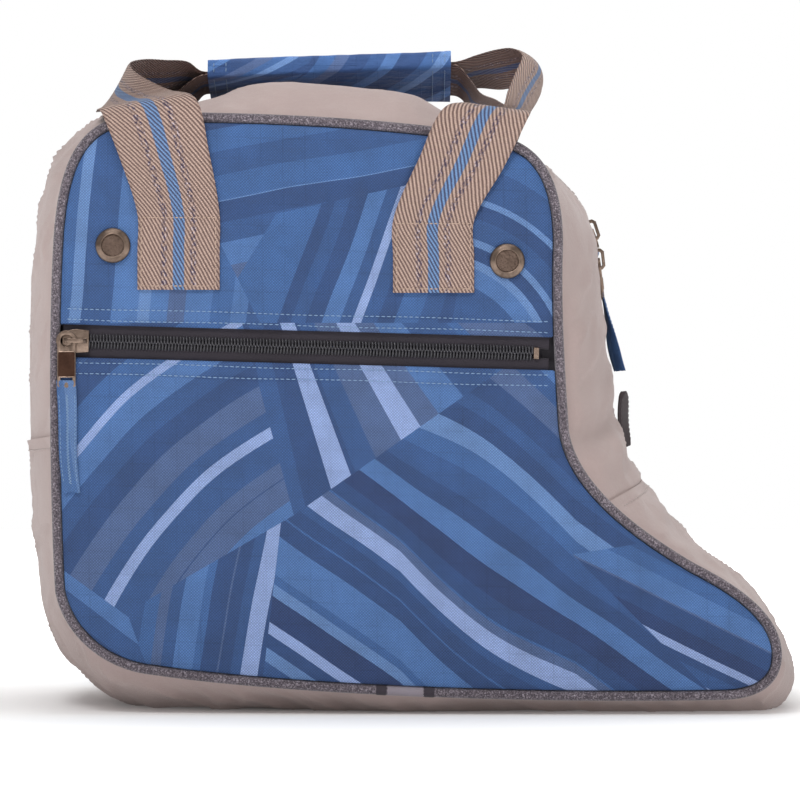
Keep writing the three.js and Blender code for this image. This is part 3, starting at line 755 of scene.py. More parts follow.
FRONT_PRINT = printed_cloth("printed_ripstop_front", object_mm, gain=0.94)
REAR_PRINT = printed_cloth("printed_ripstop_rear", object_mm, shift=(14.0, -12.0), gain=0.94)
# The grip's copy of the print is painted brighter (gain 1.5): painted light on the wrap's shaded underside.
GRIP_PRINT = printed_cloth("printed_ripstop_grip", grip_mm, pattern=GRIP_CUT, gain=1.5)
TAB_PRINT = printed_cloth("printed_ripstop_tabs", sheet_mm, shift=(-127.0, 205.0), gain=0.78)
GUSSET = plain_weave((188, 170, 166), (164, 144, 140), 0.75, "taupe_nylon")
LINING = plain_weave((78, 74, 80), (58, 54, 60), 0.8, "dark_lining", uv=False)
TAPE = plain_weave((60, 54, 62), (38, 34, 40), 1.1, "zip_tape_weave", roughness=0.8, depth=0.0002, uv=False)
BAND = plain_weave((70, 62, 70), (48, 42, 50), 0.9, "dark_band", uv=False)
SATIN = plain_weave((168, 160, 168), (122, 112, 120), 0.9, "satin_band", roughness=0.5, uv=False)
BOARD = nylon("stiffener_board", (52, 50, 50), (34, 32, 32), 0.7)
PIPING = piping_cloth()
WEB_BLUE = ((58, 62, 92), (122, 158, 206))
WEB_FLECK = ((62, 50, 72), (206, 190, 196))
WEB_TOP = webbing("webbing_face", (203, 174, 160), (100, 77, 71), WEB_BLUE, WEB_FLECK)
WEB_BLUE_UNDER = ((44, 48, 84), (76, 98, 150))
WEB_UNDER = webbing("webbing_underside", (150, 116, 104), (66, 46, 42), WEB_BLUE_UNDER, WEB_FLECK)
COIL = nylon("zip_coil", (66, 64, 70), (26, 25, 28), 0.3)
GUNMETAL = metal("antique_gunmetal", (156, 136, 122), (78, 64, 56), 0.3)
PEBBLED = metal("pebbled_gunmetal", (118, 100, 90), (80, 66, 58), 0.45, pebbles=0.9)
LACQUER = metal("brown_lacquer", (78, 56, 46), (48, 33, 27), 0.3)
HOOKS = nylon("hook_and_loop", (56, 54, 60), (24, 23, 27), 0.85)
LEATHER = leather("keeper_leather")
BLUE_THREAD = thread("blue_topstitch", (140, 168, 198), (92, 122, 164))
TAN_THREAD = thread("tan_stitch", (204, 178, 160), (150, 122, 108))
TAUPE_THREAD = thread("taupe_stitch", (196, 182, 178), (140, 124, 122))
DARK_THREAD = thread("dark_stitch", (110, 96, 100), (70, 60, 64))


# ---- camera and light ------------------------------------------------------------------------
def add_camera():
    data = bpy.data.cameras.new("camera")
    data.lens = 198.0
    data.sensor_width = 36.0
    made = bpy.data.objects.new("camera", data)
    made.location = (0.0, -2.310, 0.1575)
    made.rotation_euler = (math.radians(90), 0, 0)
    bpy.context.scene.collection.objects.link(made)
    bpy.context.scene.camera = made


def add_light(name, place, size, power, target=(0.0, 0.0, 0.15)):
    data = bpy.data.lights.new(name, "AREA")
    data.shape = "DISK"
    data.size = size
    data.energy = power
    made = bpy.data.objects.new(name, data)
    made.location = place
    made.rotation_euler = (Vector(target) - Vector(place)).to_track_quat("-Z", "Y").to_euler()
    bpy.context.scene.collection.objects.link(made)


def add_studio():
    scene = bpy.context.scene
    scene.view_settings.view_transform = "Standard"
    world = bpy.data.worlds.new("studio")
    scene.world = world
    world.use_nodes = True
    g = Graph(world.node_tree)
    path = g.node("LightPath")
    seen = g.node("Background", {"Color": (1, 1, 1, 1), "Strength": 1.0})
    height = g.parts(g.node("TexCoord").outputs["Generated"])[2]
    sky = g.ramp(g.math("MULTIPLY_ADD", height, 0.5, 0.5), [
        (0.0, grey(0.46)), (0.40, grey(0.46)), (0.52, grey(0.55)), (0.75, grey(0.86)), (1.0, grey(1.0))])
    lit = g.node("Background", {"Color": sky, "Strength": 0.46})
    both = g.node("MixShader", {0: path.outputs["Is Camera Ray"], 1: lit.outputs[0], 2: seen.outputs[0]})
    output = g.node("OutputWorld")
    g.tree.links.new(both.outputs[0], output.inputs[0])
    add_light("key", (-0.5, -1.45, 1.55), 0.55, 15.0)
    add_light("fill", (1.5, -1.1, 0.7), 1.2, 3.2)
    add_light("low", (0.0, -1.7, 0.10), 0.9, 2.4, target=(0.0, 0.0, 0.30))
    add_light("top", (0.0, 0.1, 1.8), 1.6, 11.0)
    add_light("back", (0.3, 1.7, 1.0), 1.4, 9.0)
    size = 3.0
    floor = bpy.data.meshes.new("floor")
    corners = [(-size, -size, 0), (size, -size, 0), (size, size, 0), (-size, size, 0)]
    floor.from_pydata(corners, [], [(0, 1, 2, 3)])

    def build(g):
        spot = g.node("TexCoord").outputs["Object"]
        x, y, _ = g.parts(spot)[:3]
        narrow = g.math("MULTIPLY", x, 0.6)
        near = g.math("SQRT", g.math("MULTIPLY_ADD", narrow, narrow, g.math("MULTIPLY", y, y)))
        tone = g.math("MULTIPLY_ADD", g.noise(spot, 3.0, 3.0), 0.02, 0.84)
        # The floor glows more with distance from the bag: painted light that keeps the far floor white,
        # with little glow near the bag as a painted contact shadow.
        glow = g.math("MULTIPLY_ADD", near, 2.0, -0.12, clamp=True)
        return {"Base Color": g.even(tone), "Emission Strength": glow}

    floor.materials.append(new_material("pale_floor", build, Roughness=0.9, Specular_IOR_Level=0.1,
                                        Emission_Color=(1, 1, 1, 1)))
    made = bpy.data.objects.new("floor", floor)
    scene.collection.objects.link(made)


add_camera()
add_studio()


# ---- gusset ----------------------------------------------------------------------------------
def dome(place, y):
    """How far the top of the bag swells above the CAD's surface on either side of the zip."""
    v = np.abs(y) / HALF_DEPTH
    over = np.where((v > 0.2) & (v < 0.98), np.sin(np.pi * np.clip((v - 0.2) / 0.78, 0, 1)) ** 2, 0)
    x = along(CROWN, place)[:, 0]
    height = smooth(-112, -62, x) * (1 - smooth(0, 44, x))
    height = height * smooth(1.3, 1.7, place) * (1 - smooth(3.0, 3.6, place))
    return over * height * np.where(y < 0, 10.5, 8.0)


def cloth_relief(place, run, y, seed):
    """Puckers beside the piping, long soft wrinkles, and folds at the ankle, in millimetres."""
    v = np.abs(y) / EDGE
    flat = np.stack([run, y, np.zeros(len(y))], axis=1)
    inner = 1 - smooth(0.9, 1.0, v)
    swollen = np.clip(dome(place, y) / 10.5, 0, 1)
    near = np.exp(-(EDGE - np.abs(y)) / 16.0)
    puckers = 1.4 * near * fbm(flat, (5.5, 45, 1), seed, 2)
    broad = 2.4 * fbm(flat, (46, 60, 1), seed + 1, 3) * (1 - 0.92 * swollen)
    leaning = np.stack([run + 0.5 * y, y - 0.4 * run, np.zeros(len(y))], axis=1)
    creases = 1 - np.abs(fbm(leaning, (30, 75, 1), seed + 2, 2)) * 2.2
    creases = 2.0 * np.clip(creases, 0, 1) ** 3 * (1 - 0.75 * swollen)
    ankle = np.exp(-((place - 5.25) / 0.42) ** 2) * inner
    bent = 1.5 * fbm(flat, (40, 50, 1), seed + 3, 2)
    folds = ankle * (2.2 * np.sin(run / 4.6 + 0.03 * y + bent) + 0.8)
    shoulder = 0.8 * np.exp(-((place - 1.6) / 0.4) ** 2) * fbm(flat, (12, 50, 1), seed + 4, 2)
    heel = smooth(9.3, 9.9, place) + (1 - smooth(0.9, 1.6, place))
    bend = smooth(2.95, 3.2, place) * (1 - smooth(3.6, 3.95, place)) * smooth(10, 32, np.abs(y))
    drawn_in = (3.0 * np.clip(heel, 0, 1) + 3.0 * bend) * inner
    return inner * (puckers + broad + creases + shoulder) + folds - drawn_in


HEM = 5.6  # from the edge of the slit to its row of stitches


def gusset_piece(name, node, start, end, y_edges, seed, lip=0.0):
    """One part of the gusset as thick cloth. Returns its depths, its outer points and their normals."""
    places, run = even_places(start, end, 2.6)
    low, high = y_edges
    columns = max(12, int((high - low) / 2.8))
    share = np.linspace(0, 1, columns)
    ys = low + (high - low) * share
    s, y = np.meshgrid(places, ys, indexing="ij")
    lengths = np.repeat(run[:, None], columns, axis=1)
    base = skin(s.ravel(), y.ravel()).reshape(*s.shape, 3)
    normals = unit(np.cross(np.gradient(base, axis=0), np.gradient(base, axis=1)))
    outward = base[..., [0, 2]] - np.array([-20.0, 140.0])
    if (normals[..., 0] * outward[..., 0] + normals[..., 2] * outward[..., 1]).mean() < 0:
        normals = -normals
    relief = cloth_relief(s.ravel(), lengths.ravel(), y.ravel(), seed) + dome(s.ravel(), y.ravel())
    to_slit = np.abs(y.ravel())
    hem = smooth(ZIP_SLIT, ZIP_SLIT + 7, to_slit) if low * high > 0 else np.ones(s.size)
    from_ends = np.minimum(lengths, run[-1] - lengths).ravel()
    relief = relief * hem * smooth(-2, 9, from_ends)
    if low > 0:  # room for the upper slider's pull and tab, that pass over this side
        s_flat = s.ravel()
        room = smooth(2.85, 3.0, s_flat) * (1 - smooth(4.45, 4.6, s_flat)) * (1 - smooth(66, 76, to_slit))
        relief = relief * (1 - room) + np.minimum(relief * 0.4, -0.15) * room
    if low * high > 0:  # the folded edge beside the zip
        relief += 0.35 * np.exp(-(((to_slit - ZIP_SLIT - 3) / 2.2) ** 2))
        relief -= 0.5 * np.exp(-(((to_slit - ZIP_SLIT - HEM) / 0.7) ** 2))
    relief += lip * np.exp(-((from_ends / 5.0) ** 2))
    if low * high > 0:  # its ends run in under the base gusset
        relief -= 1.4 * np.exp(-((from_ends / 2.6) ** 2))
    outer = base + normals * relief.reshape(s.shape)[..., None]
    outer[..., 2] = np.maximum(outer[..., 2], 0.0)
    inner = base - normals * FABRIC
    inner[..., 2] = np.maximum(inner[..., 2], FABRIC * 0.9)
    thick = np.linalg.norm(outer - inner, axis=-1)
    inner = outer + (inner - outer) * (FABRIC / np.maximum(thick, FABRIC))[..., None]
    sections = np.concatenate([outer, inner[:, ::-1]], axis=1)
    points, faces = loft(sections)
    uv = np.stack([lengths, y], axis=-1) * MM
    uv = np.concatenate([uv, uv[:, ::-1]], axis=1).reshape(-1, 2)
    add_mesh(name, points, faces, GUSSET, slot="gusset_cloth", stands_for=[node], uv=uv, sharp=50)
    return ys, outer, normals


GUSSETS = {
    "front": gusset_piece("front_gusset_cloth", "zip_gusset_front", HEEL_SEAM - 0.016, INSTEP_SEAM + 0.02,
                          (-EDGE, -ZIP_SLIT), 3),
    "rear": gusset_piece("rear_gusset_cloth", "zip_gusset_rear", HEEL_SEAM - 0.016, INSTEP_SEAM + 0.02,
                         (ZIP_SLIT, EDGE), 11),
    "base": gusset_piece(
        "base_gusset_cloth", "base_gusset", INSTEP_SEAM + 0.004, SPANS + HEEL_SEAM - 0.004,
        (-EDGE, EDGE), 23, 0.7),
}


def gusset_seams():
    heap = Heap()
    for side in ("front", "rear"):
        ys, outer, normals = GUSSETS[side]
        column = int(np.argmin(np.abs(np.abs(ys) - ZIP_SLIT - HEM)))
        sew(heap, outer[6:-6, column], normals[6:-6, column], 3.2, 2.5, 0.26, seed=5)
    _, outer, normals = GUSSETS["base"]
    for row in (2, -3):
        sew(heap, outer[row, 3:-3], normals[row, 3:-3], 3.2, 2.4, 0.3, seed=6)
    heap.mesh("gusset_topstitch", TAUPE_THREAD, slot="gusset_cloth")


gusset_seams()


# ---- panels ----------------------------------------------------------------------------------
def inside(points, outline):
    x, z = points[:, 0:1], points[:, 1:2]
    ax, az = outline[:, 0], outline[:, 1]
    bx, bz = np.roll(ax, -1), np.roll(az, -1)
    crosses = (az > z) != (bz > z)
    at = ax + (z - az) * (bx - ax) / np.where(np.abs(bz - az) < 1e-9, 1e-9, bz - az)
    return ((crosses & (x < at)).sum(axis=1) % 2) == 1


def edge_distance(points, outline):
    away = np.full(len(points), 1e9)
    for start in range(0, len(points), 2000):
        block = points[start:start + 2000]
        gaps = np.linalg.norm(block[:, None] - outline[None], axis=2)
        away[start:start + 2000] = gaps.min(axis=1)
    return away


def clipped(outline, offset, side):
    """The part of a closed outline above (1) or below (-1) the pocket zip's line moved by offset."""
    slope = (outline[:, 0] - POCKET["x"]) * POCKET["slope"]
    height = side * (outline[:, 1] - POCKET["z"] - offset - slope)
    kept = []
    count = len(outline)
    for i in range(count):
        j = (i + 1) % count
        if height[i] >= 0:
            kept.append(outline[i])
        if height[i] * height[j] < 0:
            share = height[i] / (height[i] - height[j])
            kept.append(outline[i] + (outline[j] - outline[i]) * share)
    return np.array(kept)


def evenly(outline, spacing):
    closed = np.vstack([outline, outline[:1]])
    run = run_along(closed)
    steps = np.linspace(0, run[-1], int(run[-1] / spacing), endpoint=False)
    return sampled(steps, run, closed)


def zip_offset(points):
    return points[:, 1] - POCKET["z"] - (points[:, 0] - POCKET["x"]) * POCKET["slope"]


def strap_shadow(points):
    """1 under the legs of the straps, the pull and the studs, where the panel may not swell."""
    x, z = points[:, 0], points[:, 1]
    left = smooth(-160, -148, x) * (1 - smooth(-82, -72, x)) * smooth(196, 206, z)
    right = smooth(-18, -8, x) * (1 - smooth(64, 76, x)) * smooth(196, 206, z)
    pull = 1 - smooth(-154, -146, x)
    return np.clip(left + right + pull, 0, 1)


def panel_relief(points, away, seed, front):
    flat = np.stack([points[:, 0], points[:, 1], np.zeros(len(points))], axis=1)
    broad = 2.0 * fbm(flat, (75, 55, 1), seed, 3)
    leaning = np.stack([points[:, 0] + points[:, 1] * 0.5, points[:, 1], points[:, 0] * 0], axis=1)
    folds = 0.55 * fbm(leaning, (18, 60, 1), seed + 1, 2)
    upper = smooth(190, 215, points[:, 1])
    crease = 1 - np.abs(fbm(flat, (60, 42, 1), seed + 2, 2)) * 2.5
    relief = broad + folds + (0.5 + 1.5 * upper) * np.clip(crease, 0, 1) ** 3
    relief = np.clip(relief, -2.8, 2.6) * smooth(0, 16, away)
    if front:
        below = -zip_offset(points)
        pull_room = smooth(2, 12, below) * (1 - smooth(78, 96, below))
        pull_room = np.clip(pull_room + smooth(-30, -22, -np.abs(below)) * (below < 12), 0, 1)
        relief = np.minimum(relief, -0.25) * pull_room + relief * (1 - pull_room)
    shadow = strap_shadow(points) if front else strap_shadow(points) * smooth(196, 206, points[:, 1])
    relief = relief * (1 - shadow) + np.minimum(relief, -0.1) * shadow * 0.5
    relief -= 1.5 * (1 - np.clip(away / 2.6, 0, 1)) ** 2
    if front:
        offset = np.abs(zip_offset(points))
        for row in (10.7, 16.2):
            groove = 0.4 * np.exp(-(((offset - row) / 0.8) ** 2))
            relief -= groove * smooth(2, 5, away + (offset < 12) * 4)
        relief += 0.25 * np.exp(-(((offset - 13.4) / 1.9) ** 2))
    return relief


RIM_RING = 0.7  # how far inside the edge the first row of points lies


def plate(name, outline, material, node, seed, front=True, spacing=2.8):
    """A printed panel: its relief outside, flat inside."""
    rim = evenly(outline, 1.7)
    low, high = rim.min(axis=0), rim.max(axis=0)
    xs = np.arange(low[0], high[0], spacing)
    zs = np.arange(low[1], high[1], spacing * 0.87)
    gx, gz = np.meshgrid(xs, zs, indexing="ij")
    gx = gx + (np.arange(len(zs)) % 2)[None, :] * spacing / 2
    inner = np.stack([gx.ravel(), gz.ravel()], axis=1)
    inner = inner[inside(inner, rim)]
    away = edge_distance(inner, rim)
    near = inner[away > 1.2]
    shift = np.roll(rim, -1, axis=0) - np.roll(rim, 1, axis=0)
    normal = unit(np.stack([shift[:, 1], -shift[:, 0]], axis=1))
    moved = rim + normal * RIM_RING
    if not inside(moved, rim).mean() > 0.5:
        moved = rim - normal * RIM_RING
    points = np.vstack([rim, near, moved[inside(moved, rim)]])
    edges = [(i, (i + 1) % len(rim)) for i in range(len(rim))]
    found = geometry.delaunay_2d_cdt(
        [Vector(p) for p in points], edges, [tuple(range(len(rim)))], 1, 1e-5)
    flat = np.array([list(p) for p in found[0]])
    triangles = [tuple(t) for t in found[2]]
    away = edge_distance(flat, evenly(outline, 0.6))
    relief = panel_relief(flat, away, seed, front)
    sign = -1 if front else 1
    face = sign * (PANEL_FACE + relief)
    back = np.full(len(flat), sign * (PANEL_FACE - PANEL))
    count = len(flat)
    solid = np.vstack([np.stack([flat[:, 0], y, flat[:, 1]], axis=1) for y in (face, back)])
    used = {}
    for a, b, c in triangles:
        for i, j in ((a, b), (b, c), (c, a)):
            used[(i, j)] = True
    faces = list(triangles) + [(c + count, b + count, a + count) for a, b, c in triangles]
    faces += [(i, j, j + count, i + count) for (i, j) in used if (j, i) not in used]
    add_mesh(name, solid, faces, material, slot="printed_cloth", stands_for=[node], sharp=60)


OUTLINE = seam_loop(PANEL_INSET)
UPPER = clipped(OUTLINE, POCKET["half_slit"], 1)
LOWER = clipped(OUTLINE, -POCKET["half_slit"], -1)
plate("upper_panel_cloth", UPPER, FRONT_PRINT, "front_upper_panel", 2)
plate("pocket_panel_cloth", LOWER, FRONT_PRINT, "front_pocket_panel", 5)
plate("rear_panel_cloth", OUTLINE, REAR_PRINT, "rear_panel", 9, front=False)


def pocket_topstitch():
    heap = Heap()
    for number, offset in enumerate((10.7, 16.2, -10.7, -16.2)):
        x = np.linspace(-166.5, 75.5, 200)
        z = POCKET["z"] + offset + (x - POCKET["x"]) * POCKET["slope"] + 0.25 * np.sin(x / 17 + number)
        path = np.stack([x, np.full(200, -PANEL_FACE + 0.22), z], axis=1)
        keep = inside(path[:, [0, 2]], seam_loop(PANEL_INSET + 0.8))
        sew(heap, path[keep], (0, -1, 0), 2.8, 2.0, 0.26, seed=20 + number)
    heap.mesh("pocket_topstitch", BLUE_THREAD, slot="printed_cloth")


pocket_topstitch()


# ---- piping ----------------------------------------------------------------------------------
def piping(name, node, y):
    line = seam_loop(0.0, 1400)
    path = np.stack([line[:, 0], np.full(len(line), y), line[:, 1]], axis=1)
    points, faces = tube(path, PIPING_RADIUS, 18, loops=True)
    add_mesh(name, points, faces, PIPING, slot="piping_cloth", stands_for=[node])


piping("front_piping_cloth", "front_piping", -HALF_DEPTH)
piping("rear_piping_cloth", "rear_piping", HALF_DEPTH)


def piping_sleeve(name, x_low, x_high, radius, material):
    place = np.linspace(8.0, 9.0, 1500)
    line = along(SEAM, place)
    line = line[(line[:, 0] > x_low) & (line[:, 0] < x_high)][::4]
    path = np.stack([line[:, 0], np.full(len(line), -HALF_DEPTH), line[:, 1]], axis=1)
    size = np.full(len(path), radius)
    size[[0, -1]] = PIPING_RADIUS - 0.1
    points, faces = tube(path, size, 24)
    add_mesh(name, points, faces, material, slot="piping_cloth")


piping_sleeve("piping_join_left", -12.5, -6.5, 2.75, BAND)
piping_sleeve("piping_join_right", 11.5, 17.5, 2.75, BAND)
piping_sleeve("piping_join_middle", -7.0, 12.0, 2.62, SATIN)


# ---- zips ------------------------------------------------------------------------------------
def coil_tooth(side):
    """One turn of the coil: from its tape over to the middle of the zip and back below."""
    path = np.array([
        (0.0, 3.5, -0.15), (0.05, 2.4, 0.42), (0.1, 1.2, 0.5), (0.2, 0.1, 0.42), (0.35, -0.35, -0.2),
        (0.5, 0.3, -0.8), (0.6, 1.6, -0.95), (0.66, 3.2, -0.8)])
    path[:, 1] *= side
    return tube(path, [0.42, 0.5, 0.52, 0.56, 0.58, 0.5, 0.44, 0.38], 6, up=(1, 0, 0))


def coil(name, node, frames, side):
    heap = Heap()
    template, faces = coil_tooth(side)
    heap.copies(template, faces, frames)
    heap.mesh(name, COIL, slot="zip_coil", stands_for=[node], sharp=80)


ZIP_PITCH = 1.6
COIL_LEVEL = -2.0


def main_zip_frames(start, end, shift):
    fine = np.linspace(start, end, 6000)
    line = skin(fine, 0.0, COIL_LEVEL)
    run = run_along(line)
    steps = np.arange(shift, run[-1], ZIP_PITCH)
    at = sampled(steps, run, line)
    x_axis = unit(sampled(steps + 0.5, run, line) - sampled(steps - 0.5, run, line))
    y_axis = np.broadcast_to([0.0, 1.0, 0.0], x_axis.shape)
    z_axis = np.cross(x_axis, y_axis)
    return list(zip(at, x_axis, y_axis, z_axis))


POCKET_TURN = math.atan(POCKET["slope"])
POCKET_X = np.array([math.cos(POCKET_TURN), 0, math.sin(POCKET_TURN)])
POCKET_Y = np.array([-math.sin(POCKET_TURN), 0, math.cos(POCKET_TURN)])
POCKET_Z = np.array([0.0, -1.0, 0.0])
POCKET_ORIGIN = np.array([POCKET["x"], -PANEL_FACE + 1.1, POCKET["z"]])


def on_pocket(x, y, z):
    return POCKET_ORIGIN + x * POCKET_X + y * POCKET_Y + z * POCKET_Z


def pocket_frames(shift):
    steps = np.arange(-5.5 + shift, 228.5, ZIP_PITCH)
    return [(on_pocket(x, 0, COIL_LEVEL + 0.2), POCKET_X, POCKET_Y, POCKET_Z) for x in steps]


ZIP_START, ZIP_END = HEEL_SEAM + 0.02, INSTEP_SEAM - 0.05
CHAIN = (ZIP_START + 0.05, ZIP_END - 0.1)
coil("main_coil_front", "main_zip_coil_front", main_zip_frames(*CHAIN, 0.0), -1)
coil("main_coil_rear", "main_zip_coil_rear", main_zip_frames(*CHAIN, ZIP_PITCH / 2), 1)
coil("pocket_coil_upper", "pocket_zip_coil_upper", pocket_frames(0.0), 1)
coil("pocket_coil_lower", "pocket_zip_coil_lower", pocket_frames(ZIP_PITCH / 2), -1)


def main_tape(name, node, side):
    places, _ = even_places(ZIP_START - 0.03, ZIP_END + 0.065, 3.0, 5.0)
    ys = np.array([2.2, 2.8, 3.4, 5.0, 7.0, 10.0, 13.0, 16.0])
    levels = np.array([-3.1, -2.7, -2.75, -2.95, -3.0, -3.0, -3.0, -3.0])
    s, y = np.meshgrid(places, ys, indexing="ij")
    closed = smooth(ZIP_END - 0.1, ZIP_END - 0.03, s)  # past the coils the tapes meet
    closed = closed + 1 - smooth(ZIP_START + 0.01, ZIP_START + 0.05, s)
    y = side * (y - 2.15 * closed * np.clip((7.0 - y) / 4.8, 0, 1))
    level = np.broadcast_to(levels, s.shape)
    top = skin(s.ravel(), y.ravel(), level.ravel()).reshape(*s.shape, 3)
    under = skin(s.ravel(), y.ravel(), level.ravel() - 0.7).reshape(*s.shape, 3)
    points, faces = loft(np.concatenate([top, under[:, ::-1]], axis=1))
    add_mesh(name, points, faces, TAPE, slot="zip_tape", stands_for=[node])


main_tape("main_tape_front", "main_zip_tape_front", -1)
main_tape("main_tape_rear", "main_zip_tape_rear", 1)


def pocket_tape(name, node, side):
    xs = np.linspace(-6.5, 236.5, 120)
    ys = side * np.array([2.2, 2.9, 3.6, 5.2, 6.6, 8.0, 11.0, 15.0])
    levels = np.array([-3.6, -2.6, -2.35, -2.6, -2.5, -2.9, -3.2, -3.2])
    sections = []
    for x in xs:
        wobble = 0.18 * math.sin(x / 9 + side)
        top = [on_pocket(x, y, z + wobble * (abs(y) < 9)) for y, z in zip(ys, levels)]
        under = [on_pocket(x, y, z - 0.8) for y, z in zip(ys, levels)]
        sections.append(top + under[::-1])
    points, faces = loft(sections)
    add_mesh(name, points, faces, TAPE, slot="zip_tape", stands_for=[node])


pocket_tape("pocket_tape_upper", "pocket_zip_tape_upper", 1)
pocket_tape("pocket_tape_lower", "pocket_zip_tape_lower", -1)


# ---- hardware --------------------------------------------------------------------------------
def refined(node, name, material, body, width):
    """A CAD node's shape with its edges rounded."""
    built = bmesh.new()
    built.from_mesh(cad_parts[node].data)
    bmesh.ops.remove_doubles(built, verts=built.verts, dist=2e-6)
    bmesh.ops.dissolve_limit(built, angle_limit=math.radians(3), verts=built.verts, edges=built.edges)
    inner = [e for e in built.edges if len(e.link_faces) == 2]
    sharp = [e for e in inner if e.calc_face_angle(0) > math.radians(28)]
    bmesh.ops.bevel(built, geom=sharp, offset=width * MM, segments=2, profile=0.6, affect="EDGES",
                    clamp_overlap=True)
    bmesh.ops.recalc_face_normals(built, faces=built.faces)
    mesh = bpy.data.meshes.new(name)
    built.to_mesh(mesh)
    built.free()
    mesh.materials.clear()
    mesh.materials.append(material)
    mesh.polygons.foreach_set("use_smooth", np.ones(len(mesh.polygons), bool))
    mesh.polygons.foreach_set("material_index", np.zeros(len(mesh.polygons), np.int32))
    mesh.set_sharp_from_angle(angle=math.radians(50))
    made = bpy.data.objects.new(name, mesh)
    bpy.context.scene.collection.objects.link(made)
    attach(made, body)
    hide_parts(node)
    return made


for prefix in ("pocket", "lower", "upper"):
    refined(f"{prefix}_slider", f"{prefix}_slider_body", GUNMETAL, f"{prefix}_slider", 0.35)
    refined(f"{prefix}_pull", f"{prefix}_pull_plate", GUNMETAL, f"{prefix}_pull", 0.25)


def place_frame(angle):
    """Origin and axes of a main slider: along the zip, across it and out."""
    x, z = shoulder_point(angle)
    turn = math.radians(angle)
    out = np.array([math.cos(turn), 0, math.sin(turn)])
    across = np.array([0.0, 1.0, 0.0])
    return np.array([x, 0, z]), np.cross(across, out), across, out


POST = 4.4  # from the middle of a slider to the post that its pull turns on
UPPER_SLIDER = 11.8  # degrees round the shoulder from the lower slider
PULL_HEAD = 5.2  # the radius of a pull's round end, which lies about its post
BAR_INSET = 1.3  # from a pull's far end to the bar that its cloth tab goes round
TAB_BACK = 2.4  # how far before that bar the tab starts
PULLS = {
    "pocket": {"length": 28.7, "turn": -88.5},
    "lower": {"length": 22.0, "turn": 0.0},
    "upper": {"length": 22.0, "turn": 82.0},
}


def pull_frame(prefix):
    """Origin and axes of a pull: its pivot, along it, across it and out."""
    if prefix == "pocket":
        origin, x_axis, y_axis, out = POCKET_ORIGIN, POCKET_X, POCKET_Y, POCKET_Z
        pivot = origin - POST * x_axis
    else:
        above = 0.0 if prefix == "lower" else UPPER_SLIDER
        origin, x_axis, y_axis, out = place_frame(SHOULDER["end"] + above)
        pivot = origin + POST * x_axis
    turn = math.radians(PULLS[prefix]["turn"])
    return (pivot, math.cos(turn) * x_axis + math.sin(turn) * y_axis,
            math.cos(turn) * y_axis - math.sin(turn) * x_axis, out)


def rounded_box(low, high, radius, steps=4):
    """A closed outline in two coordinates with round corners."""
    points = []
    left, right, bottom, top = low[0] + radius, high[0] - radius, low[1] + radius, high[1] - radius
    for cx, cy, start in ((right, top, 0), (left, top, 90), (left, bottom, 180), (right, bottom, 270)):
        for k in range(steps + 1):
            turn = math.radians(start + 90 * k / steps)
            points.append((cx + radius * math.cos(turn), cy + radius * math.sin(turn)))
    return points


def pull_details(prefix):
    """The raised rim of the pull and its lacquered face."""
    origin, x_axis, y_axis, out = pull_frame(prefix)

    def at(x, y, z):
        return origin + x * x_axis + y * y_axis + z * out

    top = 2.9
    low, high = (5.5, -4.35), (PULLS[prefix]["length"] - PULL_HEAD - 5.3, 4.35)
    outline = rounded_box(low, high, 0.9)
    rim_points, rim_faces = tube([at(x, y, top + 0.05) for x, y in outline], 0.26, 8, loops=True, up=out)
    add_mesh(f"{prefix}_pull_rim", rim_points, rim_faces, GUNMETAL, f"{prefix}_pull", "antique_metal")
    face = rounded_box((low[0] + 0.1, low[1] + 0.1), (high[0] - 0.1, high[1] - 0.1), 0.8)
    count = len(face)
    points = [at(x, y, top + 0.1) for x, y in face] + [at(x, y, top - 0.2) for x, y in face]
    faces = [tuple(range(count)), tuple(range(count, 2 * count))]
    faces += [(i, (i + 1) % count, (i + 1) % count + count, i + count) for i in range(count)]
    add_mesh(f"{prefix}_pull_face", points, faces, LACQUER, f"{prefix}_pull", "antique_metal")


for prefix in PULLS:
    pull_details(prefix)


